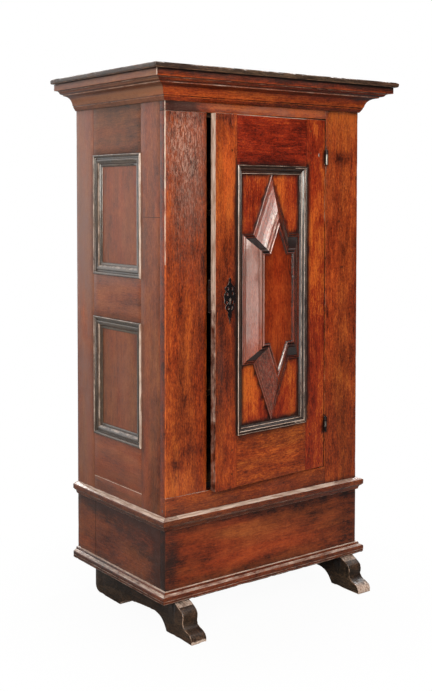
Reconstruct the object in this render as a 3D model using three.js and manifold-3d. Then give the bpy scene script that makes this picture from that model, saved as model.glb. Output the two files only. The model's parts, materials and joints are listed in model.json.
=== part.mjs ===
// A tall linen cupboard with one panelled door, on two runner feet.
// Millimetres, +Z up, the front faces -Y.
// The origin is on the ground under the middle of the overall box.
import * as THREE from "three";
import { mergeVertices } from "three/addons/utils/BufferGeometryUtils.js";
import Module from "manifold-3d";

const wasm = await Module();
wasm.setup();

// Overall sizes
const total_height = 1900;
const body_width = 878;
const body_depth = 588;
const cornice_reach = 108;
const toe_reach = 112;

// Heights above the ground
const foot_height = 114;
const waist_underside_height = 358;

// Seams and clearances
const seam = 0.3;
const door_gap = 2.5;
const stop_clearance = 0.5;
const pin_clearance = 0.25;
const bolt_clearance = 0.6;
const keeper_clearance = 1.2;
const overrun = 6;

// Boards of the carcase
const front_thickness = 30;
const side_thickness = 28;
const back_thickness = 18;
const top_thickness = 18;
const top_edge_round = 4;
const top_edge_steps = 2;
const shelf_thickness = 20;
const shelf_setback = 60;
const shelf_pitch_share = 0.2215;
const shelf_count = 3;
const back_board_count = 3;
const housing_depth = 8;

// Front frame
const left_stile_share = 0.1959;
const right_stile_share = 0.18565;
const frieze_height = 124;
const bottom_rail_height = 87;

// Side frames
const side_front_stile_width = 116;
const side_rear_stile_width = 126;
const side_top_rail_height = 258;
const side_bottom_rail_height = 227;
const side_mid_rail_height = 152;
const lower_panel_share = 0.5012;
const side_panel_thickness = 11;
const side_panel_setback = 12;
const side_panel_tongue = 9;
const sill_groove = 2;
const sill_groove_drop = 15;

// Door
const door_thickness = 25;
const door_stile_share = 0.1824;
const door_top_rail_height = 172;
const door_bottom_rail_height = 179.5;
const door_panel_thickness = 9;
const door_panel_setback = 11;
const door_panel_tongue = 8;
const door_ajar_degrees = 4.7;
const stop_thickness = 16;
const stop_lap = 14;
const stop_rise = 24;

// Mouldings
const cornice_moulding_reach = 93;
const cornice_moulding_height = 92;
const waist_moulding_reach = 21;
const waist_moulding_height = 46;
const base_moulding_reach = 22;
const base_moulding_height = 41;
const side_moulding_width = 44;
const side_moulding_proud = 5;
const door_moulding_width = 30;
const door_moulding_proud = 6.5;
const cornice_curve_steps = 7;
const moulding_curve_steps = 5;
const framed_curve_steps = 4;

// Raised figure on the door panel
const figure_margin = 0.7;
const figure_point_share = 0.4796;
const figure_neck_share = 0.6234;
const figure_slope_share = 0.525;
const figure_height = 45;

// Runner feet
const runner_thickness = 62;
const runner_rear_inset = 81;
const runner_tongue_rise = 46;
const heel_length = 172;
const heel_round_rise = 26;
const heel_round_run = 44;
const toe_pad_length = 149;
const arch_height = 48;
const toe_shoulder_share = 0.14;
const runner_curve_steps = 4;

// Lock, keeper and key plate
const key_height_share = 0.5085;
const key_from_edge_share = 0.658;
const key_hole_radius = 5.5;
const key_hole_sides = 16;
const key_slot_width = 5;
const key_slot_length = 16;
const plate_length = 161;
const plate_width_share = 0.571;
const plate_thickness = 1.6;
const plate_edge_points = 90;
const piercing_sides = 12;
const piercing_lean = 0.3;
const piercing_across_share = 0.065;
const piercing_along_share = 0.035;
const lock_width = 84;
const lock_length = 112;
const lock_depth = 17;
const lock_wall = 2;
const lock_edge_setback = 2;
const bolt_above_key = 24;
const bolt_height = 20;
const bolt_thickness = 8;
const bolt_length = 64;
const keeper_thickness = 2.5;
const keeper_width = 20;
const keeper_foot = 14;
const keeper_setback = 3;

// Hinges
const barrel_radius = 5.5;
const barrel_length = 56;
const barrel_stand_off = 6.5;
const pin_radius = 2.6;
const leaf_thickness = 1.3;
const leaf_depth = 20;
const leaf_air = 0.6;
const knuckle_gap = 0.4;
const lower_hinge_height = 160;
const upper_hinge_drop = 136;
const barrel_sides = 20;

// Planes and lines that several pieces share
const front_reach = Math.max(toe_reach, cornice_reach);
const body_centre_y = front_reach / 2;
const front_y = body_centre_y - body_depth / 2;
const back_y = body_centre_y + body_depth / 2;
const left_x = -body_width / 2;
const right_x = body_width / 2;
const top_underside = total_height - top_thickness;
const carcase_seat_height = waist_underside_height + waist_moulding_height / 2;
const sill_height = carcase_seat_height + bottom_rail_height;
const side_sill_line_height = sill_height - sill_groove_drop;
const lower_panel_foot_height = carcase_seat_height + side_bottom_rail_height;
const opening_left = left_x + left_stile_share * body_width;
const opening_right = right_x - right_stile_share * body_width;
const hinge_gap = 2 * leaf_thickness + leaf_air;
const door_width = opening_right - opening_left - door_gap - hinge_gap;
const frieze_underside = top_underside - frieze_height;
const door_foot = sill_height + door_gap;
const door_height = frieze_underside - door_gap - door_foot;
const door_stile_width = door_stile_share * door_width;
const plate_width = plate_width_share * door_stile_width;
const inner_front_y = front_y + front_thickness;
const inner_back_y = back_y - back_thickness;
const inner_half_width = body_width / 2 - side_thickness;
const side_panel_front_y = inner_front_y + side_front_stile_width;
const side_panel_rear_y = back_y - side_rear_stile_width;
const side_panel_depth = side_panel_rear_y - side_panel_front_y;
const upper_panel_head = top_underside - side_top_rail_height;
const panels_height = upper_panel_head - lower_panel_foot_height - side_mid_rail_height;
const lower_panel_head = lower_panel_foot_height + lower_panel_share * panels_height;
const upper_panel_foot = lower_panel_head + side_mid_rail_height;
const floor_top = sill_height + shelf_thickness;
const shelf_pitch = shelf_pitch_share * (top_underside - sill_height);
const hinge_axis_x = opening_right - hinge_gap / 2;
const hinge_axis_y = front_y - barrel_stand_off;

const cabinet = new THREE.Group();
const door = new THREE.Group();
const sides = [
  { name: "left", hand: -1 },
  { name: "right", hand: 1 },
];

const walnut = new THREE.MeshStandardMaterial({ color: 0x6e2a14, roughness: 0.38, metalness: 0 });
const side_walnut = new THREE.MeshStandardMaterial({ color: 0x4a1d14, roughness: 0.42, metalness: 0 });
const dark_moulding = new THREE.MeshStandardMaterial({ color: 0x1c1210, roughness: 0.3, metalness: 0 });
const plinth_walnut = new THREE.MeshStandardMaterial({ color: 0x50200f, roughness: 0.4, metalness: 0 });
const foot_walnut = new THREE.MeshStandardMaterial({ color: 0x2b1a12, roughness: 0.55, metalness: 0 });
const inner_wood = new THREE.MeshStandardMaterial({ color: 0x6b4a30, roughness: 0.75, metalness: 0 });
const field_walnut = new THREE.MeshStandardMaterial({ color: 0x8c2f10, roughness: 0.32, metalness: 0 });
const iron = new THREE.MeshStandardMaterial({ color: 0x16161a, roughness: 0.45, metalness: 0.8 });

// Closed meshes and solids

function signed_volume(points, faces) {
  let sum = 0;
  for (const [a, b, c] of faces) {
    sum += points[a].dot(new THREE.Vector3().crossVectors(points[b], points[c]));
  }
  return sum;
}

// A closed mesh from points and triangles, turned so that its faces point out.
function closed_geometry(points, faces) {
  const outward = signed_volume(points, faces) > 0;
  const index = faces.flatMap(([a, b, c]) => (outward ? [a, b, c] : [a, c, b]));
  const geometry = new THREE.BufferGeometry().setFromPoints(points);
  geometry.setIndex(index);
  geometry.computeVertexNormals();
  return geometry;
}

function solid_of(geometry) {
  const bare = geometry.clone();
  bare.deleteAttribute("normal");
  bare.deleteAttribute("uv");
  const merged = mergeVertices(bare);
  const mesh = new wasm.Mesh({
    numProp: 3,
    vertProperties: new Float32Array(merged.attributes.position.array),
    triVerts: new Uint32Array(merged.index.array),
  });
  return new wasm.Manifold(mesh);
}

function geometry_of(solid) {
  const mesh = solid.getMesh();
  const geometry = new THREE.BufferGeometry();
  geometry.setAttribute("position", new THREE.BufferAttribute(new Float32Array(mesh.vertProperties), 3));
  geometry.setIndex(new THREE.BufferAttribute(new Uint32Array(mesh.triVerts), 1));
  geometry.computeVertexNormals();
  return geometry;
}

function cut(geometry, cutters) {
  const result = cutters.reduce((solid, cutter) => solid.subtract(solid_of(cutter)), solid_of(geometry));
  return geometry_of(result);
}

function join(geometries) {
  const [first, ...rest] = geometries.map(solid_of);
  return geometry_of(rest.reduce((solid, next) => solid.add(next), first));
}

// A box between two corners. Ranges are [low, high] or [high, low].
function block(x_range, y_range, z_range) {
  const ranges = [x_range, y_range, z_range];
  const size = ranges.map(([a, b]) => Math.abs(b - a));
  const centre = ranges.map(([a, b]) => (a + b) / 2);
  return new THREE.BoxGeometry(...size).translate(...centre);
}

function add(group, name, material, geometry) {
  geometry.computeBoundingBox();
  const centre = geometry.boundingBox.getCenter(new THREE.Vector3());
  geometry.translate(-centre.x, -centre.y, -centre.z);
  const mesh = new THREE.Mesh(geometry, material);
  mesh.name = name;
  mesh.position.copy(centre);
  group.add(mesh);
  return mesh;
}

// A range drawn in by half a seam at both ends, so that neighbours never touch.
function inset([a, b]) {
  const step = (Math.sign(b - a) * seam) / 2;
  return [a + step, b - step];
}

function board_block(x_range, y_range, z_range) {
  return block(inset(x_range), inset(y_range), inset(z_range));
}

function add_board(group, name, material, x_range, y_range, z_range) {
  return add(group, name, material, board_block(x_range, y_range, z_range));
}

// Moulding outlines: [reach, height] points that run round the section once

function scaled(path, reach, height, divisions) {
  return path.getPoints(divisions).map((point) => [point.x * reach, point.y * height]);
}

function cornice_outline() {
  const shares = new THREE.Path();
  shares.moveTo(0, 0);
  shares.lineTo(0.04, 0);
  shares.lineTo(0.14, 0.15);
  shares.lineTo(0.14, 0.19);
  shares.lineTo(0.17, 0.21);
  shares.quadraticCurveTo(0.22, 0.5, 0.46, 0.555);
  shares.lineTo(0.6, 0.58);
  shares.lineTo(0.6, 0.615);
  shares.quadraticCurveTo(0.76, 0.62, 0.78, 0.71);
  shares.lineTo(0.83, 0.72);
  shares.lineTo(0.83, 0.745);
  shares.lineTo(1, 0.75);
  shares.lineTo(1, 1);
  shares.lineTo(0, 1);
  return scaled(shares, cornice_moulding_reach, cornice_moulding_height, cornice_curve_steps);
}

function waist_outline() {
  const shares = new THREE.Path();
  shares.moveTo(0, 0);
  shares.lineTo(0.3, 0);
  shares.lineTo(0.34, 0.09);
  shares.quadraticCurveTo(0.42, 0.32, 0.76, 0.34);
  shares.lineTo(0.8, 0.42);
  shares.lineTo(0.97, 0.44);
  shares.lineTo(1, 0.76);
  shares.quadraticCurveTo(0.99, 0.83, 0.9, 0.85);
  shares.lineTo(0.12, 0.98);
  shares.lineTo(0, 1);
  return scaled(shares, waist_moulding_reach, waist_moulding_height, moulding_curve_steps);
}

function base_outline() {
  const shares = new THREE.Path();
  shares.moveTo(0, 0);
  shares.lineTo(0.78, 0);
  shares.lineTo(0.98, 0.12);
  shares.lineTo(0.96, 0.29);
  shares.lineTo(1, 0.33);
  shares.lineTo(1, 0.58);
  shares.quadraticCurveTo(0.98, 0.66, 0.88, 0.69);
  shares.lineTo(0.44, 0.8);
  shares.lineTo(0.4, 0.92);
  shares.quadraticCurveTo(0.36, 0.98, 0.26, 0.98);
  shares.lineTo(0, 1);
  return scaled(shares, base_moulding_reach, base_moulding_height, moulding_curve_steps);
}

// Framed mouldings: [distance in from the outer edge, height over the seat] as shares of width and height
function door_moulding_outline() {
  const shares = new THREE.Path();
  shares.moveTo(0, 0);
  shares.lineTo(0, 0.86);
  shares.quadraticCurveTo(0.06, 1.1, 0.19, 0.92);
  shares.lineTo(0.22, 0.78);
  shares.lineTo(0.27, 0.78);
  shares.quadraticCurveTo(0.34, 0.98, 0.42, 0.82);
  shares.lineTo(0.6, 0.54);
  shares.lineTo(0.62, 0.48);
  shares.lineTo(0.66, 0.48);
  shares.quadraticCurveTo(0.71, 0.62, 0.77, 0.5);
  shares.lineTo(0.94, 0.22);
  shares.lineTo(1, 0.19);
  shares.lineTo(1, 0);
  const rise = door_panel_setback + door_moulding_proud;
  return scaled(shares, door_moulding_width, rise, framed_curve_steps);
}

function side_moulding_outline() {
  const shares = new THREE.Path();
  shares.moveTo(0, 0);
  shares.lineTo(0, 0.88);
  shares.quadraticCurveTo(0.05, 1.1, 0.2, 0.92);
  shares.lineTo(0.26, 0.52);
  shares.lineTo(0.34, 0.5);
  shares.quadraticCurveTo(0.42, 0.84, 0.62, 0.6);
  shares.quadraticCurveTo(0.76, 0.44, 0.8, 0.2);
  shares.lineTo(0.96, 0.16);
  shares.lineTo(1, 0);
  const rise = side_panel_setback + side_moulding_proud;
  return scaled(shares, side_moulding_width, rise, framed_curve_steps);
}

function figure_slope_outline() {
  const shares = new THREE.Path();
  shares.moveTo(0, 0);
  shares.lineTo(0, 0.13);
  shares.quadraticCurveTo(0.045, 0.2, 0.09, 0.14);
  shares.lineTo(0.11, 0.2);
  shares.quadraticCurveTo(0.14, 0.27, 0.18, 0.22);
  shares.lineTo(0.66, 0.8);
  shares.lineTo(0.69, 0.78);
  shares.quadraticCurveTo(0.76, 1.02, 0.84, 0.93);
  shares.lineTo(0.86, 0.88);
  shares.quadraticCurveTo(0.91, 1.1, 0.97, 0.94);
  shares.lineTo(1, 0.84);
  return scaled(shares, figure_slope_share * figure_half_width, figure_height, framed_curve_steps);
}

// Straight strip with its length on X, reaching out to -Y.
// A mitred end runs out as far as the section reaches.
function strip_geometry(outline, length, mitred_start, mitred_finish) {
  const draw_back = (seam * Math.SQRT2) / 2;
  const points = [];
  for (const [reach, height] of outline) {
    const out = reach + seam / 2;
    const start = mitred_start ? -out + draw_back : seam / 2;
    const finish = mitred_finish ? length + out - draw_back : length - seam / 2;
    points.push(new THREE.Vector3(start, -out, height));
    points.push(new THREE.Vector3(finish, -out, height));
  }
  const contour = outline.map(([reach, height]) => new THREE.Vector2(reach, height));
  const caps = THREE.ShapeUtils.triangulateShape(contour, []);
  const faces = [];
  outline.forEach((_, i) => {
    const next = (i + 1) % outline.length;
    faces.push([2 * i, 2 * next, 2 * i + 1]);
    faces.push([2 * next, 2 * next + 1, 2 * i + 1]);
  });
  const turns_left = THREE.ShapeUtils.area(contour) > 0;
  for (const [a, b, c] of caps) {
    const [second, third] = turns_left ? [b, c] : [c, b];
    faces.push([2 * a, 2 * third, 2 * second]);
    faces.push([2 * a + 1, 2 * second + 1, 2 * third + 1]);
  }
  return closed_geometry(points, faces);
}

// Picture-frame moulding in the XZ plane, standing out to -Y from its seat at zero.
function ring_geometry(width, height, outline) {
  const points = [];
  const faces = [];
  const corners = [[-1, -1], [1, -1], [1, 1], [-1, 1]];
  for (const [sx, sz] of corners) {
    for (const [inward, rise] of outline) {
      const x = sx * (width / 2 - seam / 2 - inward);
      const z = sz * (height / 2 - seam / 2 - inward);
      points.push(new THREE.Vector3(x, -rise - seam / 2, z));
    }
  }
  const count = outline.length;
  corners.forEach((_, corner) => {
    const here = corner * count;
    const there = ((corner + 1) % corners.length) * count;
    outline.forEach((__, i) => {
      const next = (i + 1) % count;
      faces.push([here + i, there + i, here + next]);
      faces.push([there + i, there + next, here + next]);
    });
  });
  return closed_geometry(points, faces);
}

// The contour moved in by a distance, with mitred corners.
function shrunk(contour, distance) {
  return contour.map((point, i) => {
    const before = contour[(i + contour.length - 1) % contour.length];
    const after = contour[(i + 1) % contour.length];
    const edge_in = point.clone().sub(before).normalize();
    const edge_out = after.clone().sub(point).normalize();
    const normal_in = new THREE.Vector2(-edge_in.y, edge_in.x);
    const normal_out = new THREE.Vector2(-edge_out.y, edge_out.x);
    const mitre = normal_in.add(normal_out);
    return point.clone().addScaledVector(mitre, (2 * distance) / mitre.lengthSq());
  });
}

// A relief over a contour in the XZ plane, rising to -Y along a slope outline of [inward, rise] points.
function relief_geometry(contour, slope) {
  const count = contour.length;
  const points = [];
  const faces = [];
  for (const [inward, rise] of slope) {
    for (const corner of shrunk(contour, inward + seam / 2)) {
      points.push(new THREE.Vector3(corner.x, -rise - seam / 2, corner.y));
    }
  }
  for (let level = 0; level < slope.length - 1; level++) {
    for (let i = 0; i < count; i++) {
      const next = (i + 1) % count;
      const low = level * count;
      const high = low + count;
      faces.push([low + i, low + next, high + i]);
      faces.push([low + next, high + next, high + i]);
    }
  }
  const last = (slope.length - 1) * count;
  const caps = THREE.ShapeUtils.triangulateShape(shrunk(contour, 0), []);
  for (const [a, b, c] of caps) {
    faces.push([a, c, b]);
  }
  const top_contour = shrunk(contour, slope[slope.length - 1][0]);
  for (const [a, b, c] of THREE.ShapeUtils.triangulateShape(top_contour, [])) {
    faces.push([last + a, last + b, last + c]);
  }
  return closed_geometry(points, faces);
}

// Runner feet

function runner_shape() {
  const heel_y = back_y - runner_rear_inset;
  const toe_y = front_y - toe_reach;
  const arch_rear_y = heel_y - heel_length;
  const arch_front_y = toe_y + toe_pad_length;
  const arch_length = arch_rear_y - arch_front_y;
  const shelf_z = foot_height - seam / 2;
  const tongue_z = foot_height + runner_tongue_rise;
  const tongue_front_y = inner_front_y + seam / 2;
  const shape = new THREE.Shape();
  shape.moveTo(heel_y, tongue_z);
  shape.lineTo(heel_y, heel_round_rise);
  shape.quadraticCurveTo(heel_y, 0, heel_y - heel_round_run, 0);
  shape.lineTo(arch_rear_y, 0);
  const arch_shares = [[0.045, 0.24], [0.16, 0.55], [0.34, 0.82], [0.56, 0.96], [0.76, 1], [0.87, 0.86],
    [0.94, 0.55], [0.98, 0.22]];
  const arch = arch_shares.map(([along, up]) => {
    return new THREE.Vector2(arch_rear_y - along * arch_length, up * arch_height);
  });
  shape.splineThru([...arch, new THREE.Vector2(arch_front_y, 0)]);
  shape.lineTo(toe_y, 0);
  const toe_shares = [[1, 0.06], [0.985, 0.15], [0.92, 0.24], [0.8, 0.3], [0.66, 0.34], [0.57, 0.41],
    [0.535, 0.5], [0.55, 0.6], [0.55, 0.7], [0.5, 0.79], [0.41, 0.86]];
  const [toe_tip, ...scroll] = toe_shares.map(([along, up]) => {
    return new THREE.Vector2(front_y - along * toe_reach, up * foot_height);
  });
  shape.lineTo(toe_tip.x, toe_tip.y);
  shape.splineThru(scroll);
  shape.lineTo(front_y - toe_shoulder_share * toe_reach, shelf_z);
  shape.lineTo(tongue_front_y, shelf_z);
  shape.lineTo(tongue_front_y, tongue_z);
  return shape;
}

// Extrudes a shape drawn in Y and Z along X, starting at zero.
function extrude_along_x(shape, depth, curve_segments) {
  const options = { depth, bevelEnabled: false, curveSegments: curve_segments };
  const geometry = new THREE.ExtrudeGeometry(shape, options);
  return geometry.applyMatrix4(new THREE.Matrix4().makeBasis(
    new THREE.Vector3(0, 1, 0),
    new THREE.Vector3(0, 0, 1),
    new THREE.Vector3(1, 0, 0),
  ));
}

function add_runner(side) {
  const geometry = extrude_along_x(runner_shape(), runner_thickness, runner_curve_steps);
  const outer_x = side.hand * inner_half_width - (side.hand * seam) / 2;
  geometry.translate(side.hand > 0 ? outer_x - runner_thickness : outer_x, 0, 0);
  add(cabinet, `runner_${side.name}`, foot_walnut, geometry);
}

// Plinth and the mouldings round it

function add_plinth() {
  const heights = [foot_height, carcase_seat_height];
  add_board(cabinet, "plinth_front", plinth_walnut, [left_x, right_x], [front_y, inner_front_y], heights);
  for (const { name, hand } of sides) {
    const thickness = [hand * inner_half_width, (hand * body_width) / 2];
    add_board(cabinet, `plinth_${name}`, plinth_walnut, thickness, [inner_front_y, back_y], heights);
  }
}

// Front, left and right strips of one moulding, mitred at the two front corners.
function add_moulding_run(name, material, outline, foot) {
  const front = strip_geometry(outline, body_width, true, true).translate(left_x, front_y, foot);
  const left = strip_geometry(outline, body_depth, false, true);
  const right = strip_geometry(outline, body_depth, true, false);
  left.rotateZ(-Math.PI / 2).translate(left_x, back_y, foot);
  right.rotateZ(Math.PI / 2).translate(right_x, front_y, foot);
  add(cabinet, `${name}_front`, material, front);
  add(cabinet, `${name}_left`, material, left);
  add(cabinet, `${name}_right`, material, right);
}

// Front frame

function add_front_frame() {
  const depth = [front_y, inner_front_y];
  const left_stile = [left_x, opening_left];
  const right_stile = [opening_right, right_x];
  const rails = [left_x, opening_right];
  add_board(cabinet, "front_stile_left", walnut, left_stile, depth, [sill_height, frieze_underside]);
  add_board(cabinet, "front_stile_right", walnut, right_stile, depth, [carcase_seat_height, top_underside]);
  add_board(cabinet, "bottom_rail", walnut, rails, depth, [carcase_seat_height, sill_height]);
  add_board(cabinet, "frieze_rail", walnut, rails, depth, [frieze_underside, top_underside]);
}

// Side frames

function shelf_levels() {
  const levels = [sill_height];
  for (let i = 1; i <= shelf_count; i++) {
    levels.push(sill_height + i * shelf_pitch);
  }
  return levels;
}

// Ranges in X through the side wall, from its outer face inward.
function side_range(hand, from, to) {
  return [hand * (body_width / 2 - from), hand * (body_width / 2 - to)];
}

function shelf_housings(hand, y_range) {
  return shelf_levels().map((level) => block(
    side_range(hand, side_thickness - housing_depth, side_thickness + overrun),
    y_range,
    [level, level + shelf_thickness],
  ));
}

function panel_groove(hand, y_range, z_range) {
  const x_range = side_range(hand, side_panel_setback, side_panel_setback + side_panel_thickness);
  return block(x_range, y_range, z_range);
}

function add_side_frame({ name, hand }) {
  const thickness = side_range(hand, 0, side_thickness);
  const full_height = [carcase_seat_height, top_underside];
  const groove_height = [lower_panel_foot_height - side_panel_tongue, upper_panel_head + side_panel_tongue];
  const front_groove = [side_panel_front_y - side_panel_tongue, side_panel_front_y + overrun];
  const rear_groove = [side_panel_rear_y - overrun, side_panel_rear_y + side_panel_tongue];
  const front_range = [inner_front_y, side_panel_front_y];
  const rear_range = [side_panel_rear_y, back_y];
  const rail_range = [side_panel_front_y, side_panel_rear_y];
  const past_rails = [side_panel_front_y - overrun, side_panel_rear_y + overrun];
  const sill_slot = [lower_panel_foot_height - side_panel_tongue, lower_panel_foot_height + overrun];

  add(cabinet, `side_${name}_front_stile`, side_walnut, cut(
    board_block(thickness, front_range, full_height),
    [
      ...shelf_housings(hand, [inner_front_y - overrun, side_panel_front_y + overrun]),
      panel_groove(hand, front_groove, groove_height),
    ],
  ));
  add(cabinet, `side_${name}_rear_stile`, side_walnut, cut(
    board_block(thickness, rear_range, full_height),
    [
      ...shelf_housings(hand, [side_panel_rear_y - overrun, back_y + overrun]),
      panel_groove(hand, rear_groove, groove_height),
    ],
  ));
  add(cabinet, `side_${name}_top_rail`, side_walnut, cut(
    board_block(thickness, rail_range, [upper_panel_head, top_underside]),
    [panel_groove(hand, past_rails, [upper_panel_head - overrun, upper_panel_head + side_panel_tongue])],
  ));
  add(cabinet, `side_${name}_mid_rail`, side_walnut, cut(
    board_block(thickness, rail_range, [lower_panel_head, upper_panel_foot]),
    [
      panel_groove(hand, past_rails, [lower_panel_head - overrun, lower_panel_head + side_panel_tongue]),
      panel_groove(hand, past_rails, [upper_panel_foot - side_panel_tongue, upper_panel_foot + overrun]),
    ],
  ));
  add(cabinet, `side_${name}_bottom_rail`, side_walnut, cut(
    board_block(thickness, rail_range, [carcase_seat_height, lower_panel_foot_height]),
    [
      panel_groove(hand, past_rails, sill_slot),
      block(
        side_range(hand, -overrun, sill_groove),
        past_rails,
        [side_sill_line_height, side_sill_line_height + sill_groove],
      ),
      block(
        side_range(hand, side_thickness - housing_depth, side_thickness + overrun),
        past_rails,
        [sill_height, floor_top],
      ),
    ],
  ));
}

function add_side_panels({ name, hand }) {
  const panels = [
    { level: "lower", foot: lower_panel_foot_height, head: lower_panel_head },
    { level: "upper", foot: upper_panel_foot, head: upper_panel_head },
  ];
  const depth = [side_panel_front_y - side_panel_tongue, side_panel_rear_y + side_panel_tongue];
  const thickness = side_range(hand, side_panel_setback, side_panel_setback + side_panel_thickness);
  const centre_y = (side_panel_front_y + side_panel_rear_y) / 2;
  for (const { level, foot, head } of panels) {
    const heights = [foot - side_panel_tongue, head + side_panel_tongue];
    add_board(cabinet, `side_${name}_panel_${level}`, side_walnut, thickness, depth, heights);
    const ring = ring_geometry(side_panel_depth, head - foot, side_moulding_outline());
    ring.rotateZ((hand * Math.PI) / 2);
    ring.translate(hand * (body_width / 2 - side_panel_setback), centre_y, (foot + head) / 2);
    add(cabinet, `side_${name}_moulding_${level}`, dark_moulding, ring);
  }
}

// Floor, shelves, back and top

// The floor laps onto the bottom rail between the stiles, where its edge stops the closed door.
function add_floor() {
  const stop_y = front_y + door_thickness + stop_clearance;
  const heights = inset([sill_height, floor_top]);
  const half = inner_half_width + housing_depth - seam / 2;
  const main = block([-half, half], inset([inner_front_y, inner_back_y]), heights);
  const lap = block(inset([opening_left, opening_right]), [stop_y, inner_front_y + overrun], heights);
  add(cabinet, "floor_board", inner_wood, join([main, lap]));
}

function add_shelves() {
  const half = inner_half_width - seam / 2;
  const tongue_half = half + housing_depth;
  const front_edge = front_y + shelf_setback;
  const rear_edge = inner_back_y - seam / 2;
  const tongue_stop = side_panel_tongue + seam;
  shelf_levels().slice(1).forEach((level, i) => {
    const heights = inset([level, level + shelf_thickness]);
    const plank = block([-half, half], [front_edge, rear_edge], heights);
    const tongues = [
      [front_edge, side_panel_front_y - tongue_stop],
      [side_panel_rear_y + tongue_stop, rear_edge],
    ].map((depth) => block([-tongue_half, tongue_half], depth, heights));
    add(cabinet, `shelf_${i + 1}`, inner_wood, join([plank, ...tongues]));
  });
}

function add_back_boards() {
  const width = (2 * inner_half_width) / back_board_count;
  for (let i = 0; i < back_board_count; i++) {
    const left = -inner_half_width + i * width;
    const heights = [foot_height, top_underside];
    const depth = [inner_back_y, back_y];
    add_board(cabinet, `back_board_${i + 1}`, inner_wood, [left, left + width], depth, heights);
  }
}

function add_top_board() {
  const round = top_edge_round;
  const width = body_width + 2 * cornice_reach - 2 * round;
  const depth = body_depth + cornice_reach - 2 * round;
  const shape = new THREE.Shape();
  shape.moveTo(-width / 2, -depth / 2);
  shape.lineTo(width / 2, -depth / 2);
  shape.lineTo(width / 2, depth / 2);
  shape.lineTo(-width / 2, depth / 2);
  const geometry = new THREE.ExtrudeGeometry(shape, {
    depth: top_thickness - 2 * round,
    bevelEnabled: true,
    bevelThickness: round,
    bevelSize: round,
    bevelSegments: top_edge_steps,
  });
  const centre_y = (front_y - cornice_reach + back_y) / 2;
  add(cabinet, "top_board", walnut, geometry.translate(0, centre_y, top_underside + round));
}

// An L-shaped batten behind the frieze rail that the head of the door closes against.
function add_door_stop() {
  const stop_y = front_y + door_thickness + stop_clearance;
  const rear_y = inner_front_y + stop_thickness;
  const batten_front = inner_front_y + seam / 2;
  const shape = new THREE.Shape();
  shape.moveTo(stop_y, frieze_underside - stop_lap);
  shape.lineTo(rear_y, frieze_underside - stop_lap);
  shape.lineTo(rear_y, frieze_underside + stop_rise);
  shape.lineTo(batten_front, frieze_underside + stop_rise);
  shape.lineTo(batten_front, frieze_underside - seam / 2);
  shape.lineTo(stop_y, frieze_underside - seam / 2);
  const length = opening_right - opening_left - seam;
  const geometry = extrude_along_x(shape, length, 1);
  add(cabinet, "door_stop", inner_wood, geometry.translate(opening_left + seam / 2, 0, 0));
}

// Door, drawn closed with its foot on the ground plane, its hinge axis on Z and its body towards -X

const door_hinge_edge = -hinge_gap / 2;
const door_free_edge = door_hinge_edge - door_width;
const door_face_y = barrel_stand_off;
const door_back_y = door_face_y + door_thickness;
const door_panel_left = door_free_edge + door_stile_width;
const door_panel_right = door_hinge_edge - door_stile_width;
const door_panel_foot = door_bottom_rail_height;
const door_panel_head = door_height - door_top_rail_height;
const door_panel_y = door_face_y + door_panel_setback;
const door_centre_x = (door_panel_left + door_panel_right) / 2;
const door_centre_z = (door_panel_foot + door_panel_head) / 2;
const figure_half_width = (door_panel_right - door_panel_left) / 2 - door_moulding_width - seam;
const key_x = door_free_edge + key_from_edge_share * door_stile_width;
const key_height = key_height_share * door_height;

function door_groove(x_range, z_range) {
  return block(x_range, [door_panel_y, door_panel_y + door_panel_thickness], z_range);
}

// A round hole with a slot below it, drawn round the origin in X and Z and running through the door in Y.
function key_hole_cutter(depth_range) {
  const [near, far] = depth_range;
  const round = new THREE.CylinderGeometry(key_hole_radius, key_hole_radius, far - near, key_hole_sides);
  round.translate(0, (near + far) / 2, 0);
  const half_slot = key_slot_width / 2;
  const slot = block([-half_slot, half_slot], depth_range, [-key_slot_length, 0]);
  return join([round, slot]).translate(key_x, 0, key_height);
}

function add_door_frame() {
  const depth = [door_face_y, door_back_y];
  const height = [0, door_height];
  const groove_height = [door_panel_foot - door_panel_tongue, door_panel_head + door_panel_tongue];
  const past_rails = [door_panel_left - overrun, door_panel_right + overrun];
  add(door, "door_lock_stile", walnut, cut(
    board_block([door_free_edge, door_panel_left], depth, height),
    [
      door_groove([door_panel_left - door_panel_tongue, door_panel_left + overrun], groove_height),
      key_hole_cutter([door_face_y - overrun, door_back_y + overrun]),
    ],
  ));
  add(door, "door_hinge_stile", walnut, cut(
    board_block([door_panel_right, door_hinge_edge], depth, height),
    [door_groove([door_panel_right - overrun, door_panel_right + door_panel_tongue], groove_height)],
  ));
  add(door, "door_top_rail", walnut, cut(
    board_block([door_panel_left, door_panel_right], depth, [door_panel_head, door_height]),
    [door_groove(past_rails, [door_panel_head - overrun, door_panel_head + door_panel_tongue])],
  ));
  add(door, "door_bottom_rail", walnut, cut(
    board_block([door_panel_left, door_panel_right], depth, [0, door_panel_foot]),
    [door_groove(past_rails, [door_panel_foot - door_panel_tongue, door_panel_foot + overrun])],
  ));
}

function add_door_panel() {
  const width = [door_panel_left - door_panel_tongue, door_panel_right + door_panel_tongue];
  const height = [door_panel_foot - door_panel_tongue, door_panel_head + door_panel_tongue];
  const depth = [door_panel_y, door_panel_y + door_panel_thickness];
  add_board(door, "door_panel", field_walnut, width, depth, height);
  const ring_width = door_panel_right - door_panel_left;
  const ring_height = door_panel_head - door_panel_foot;
  const ring = ring_geometry(ring_width, ring_height, door_moulding_outline());
  ring.translate(door_centre_x, door_panel_y, door_centre_z);
  add(door, "door_panel_moulding", dark_moulding, ring);
}

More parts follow.
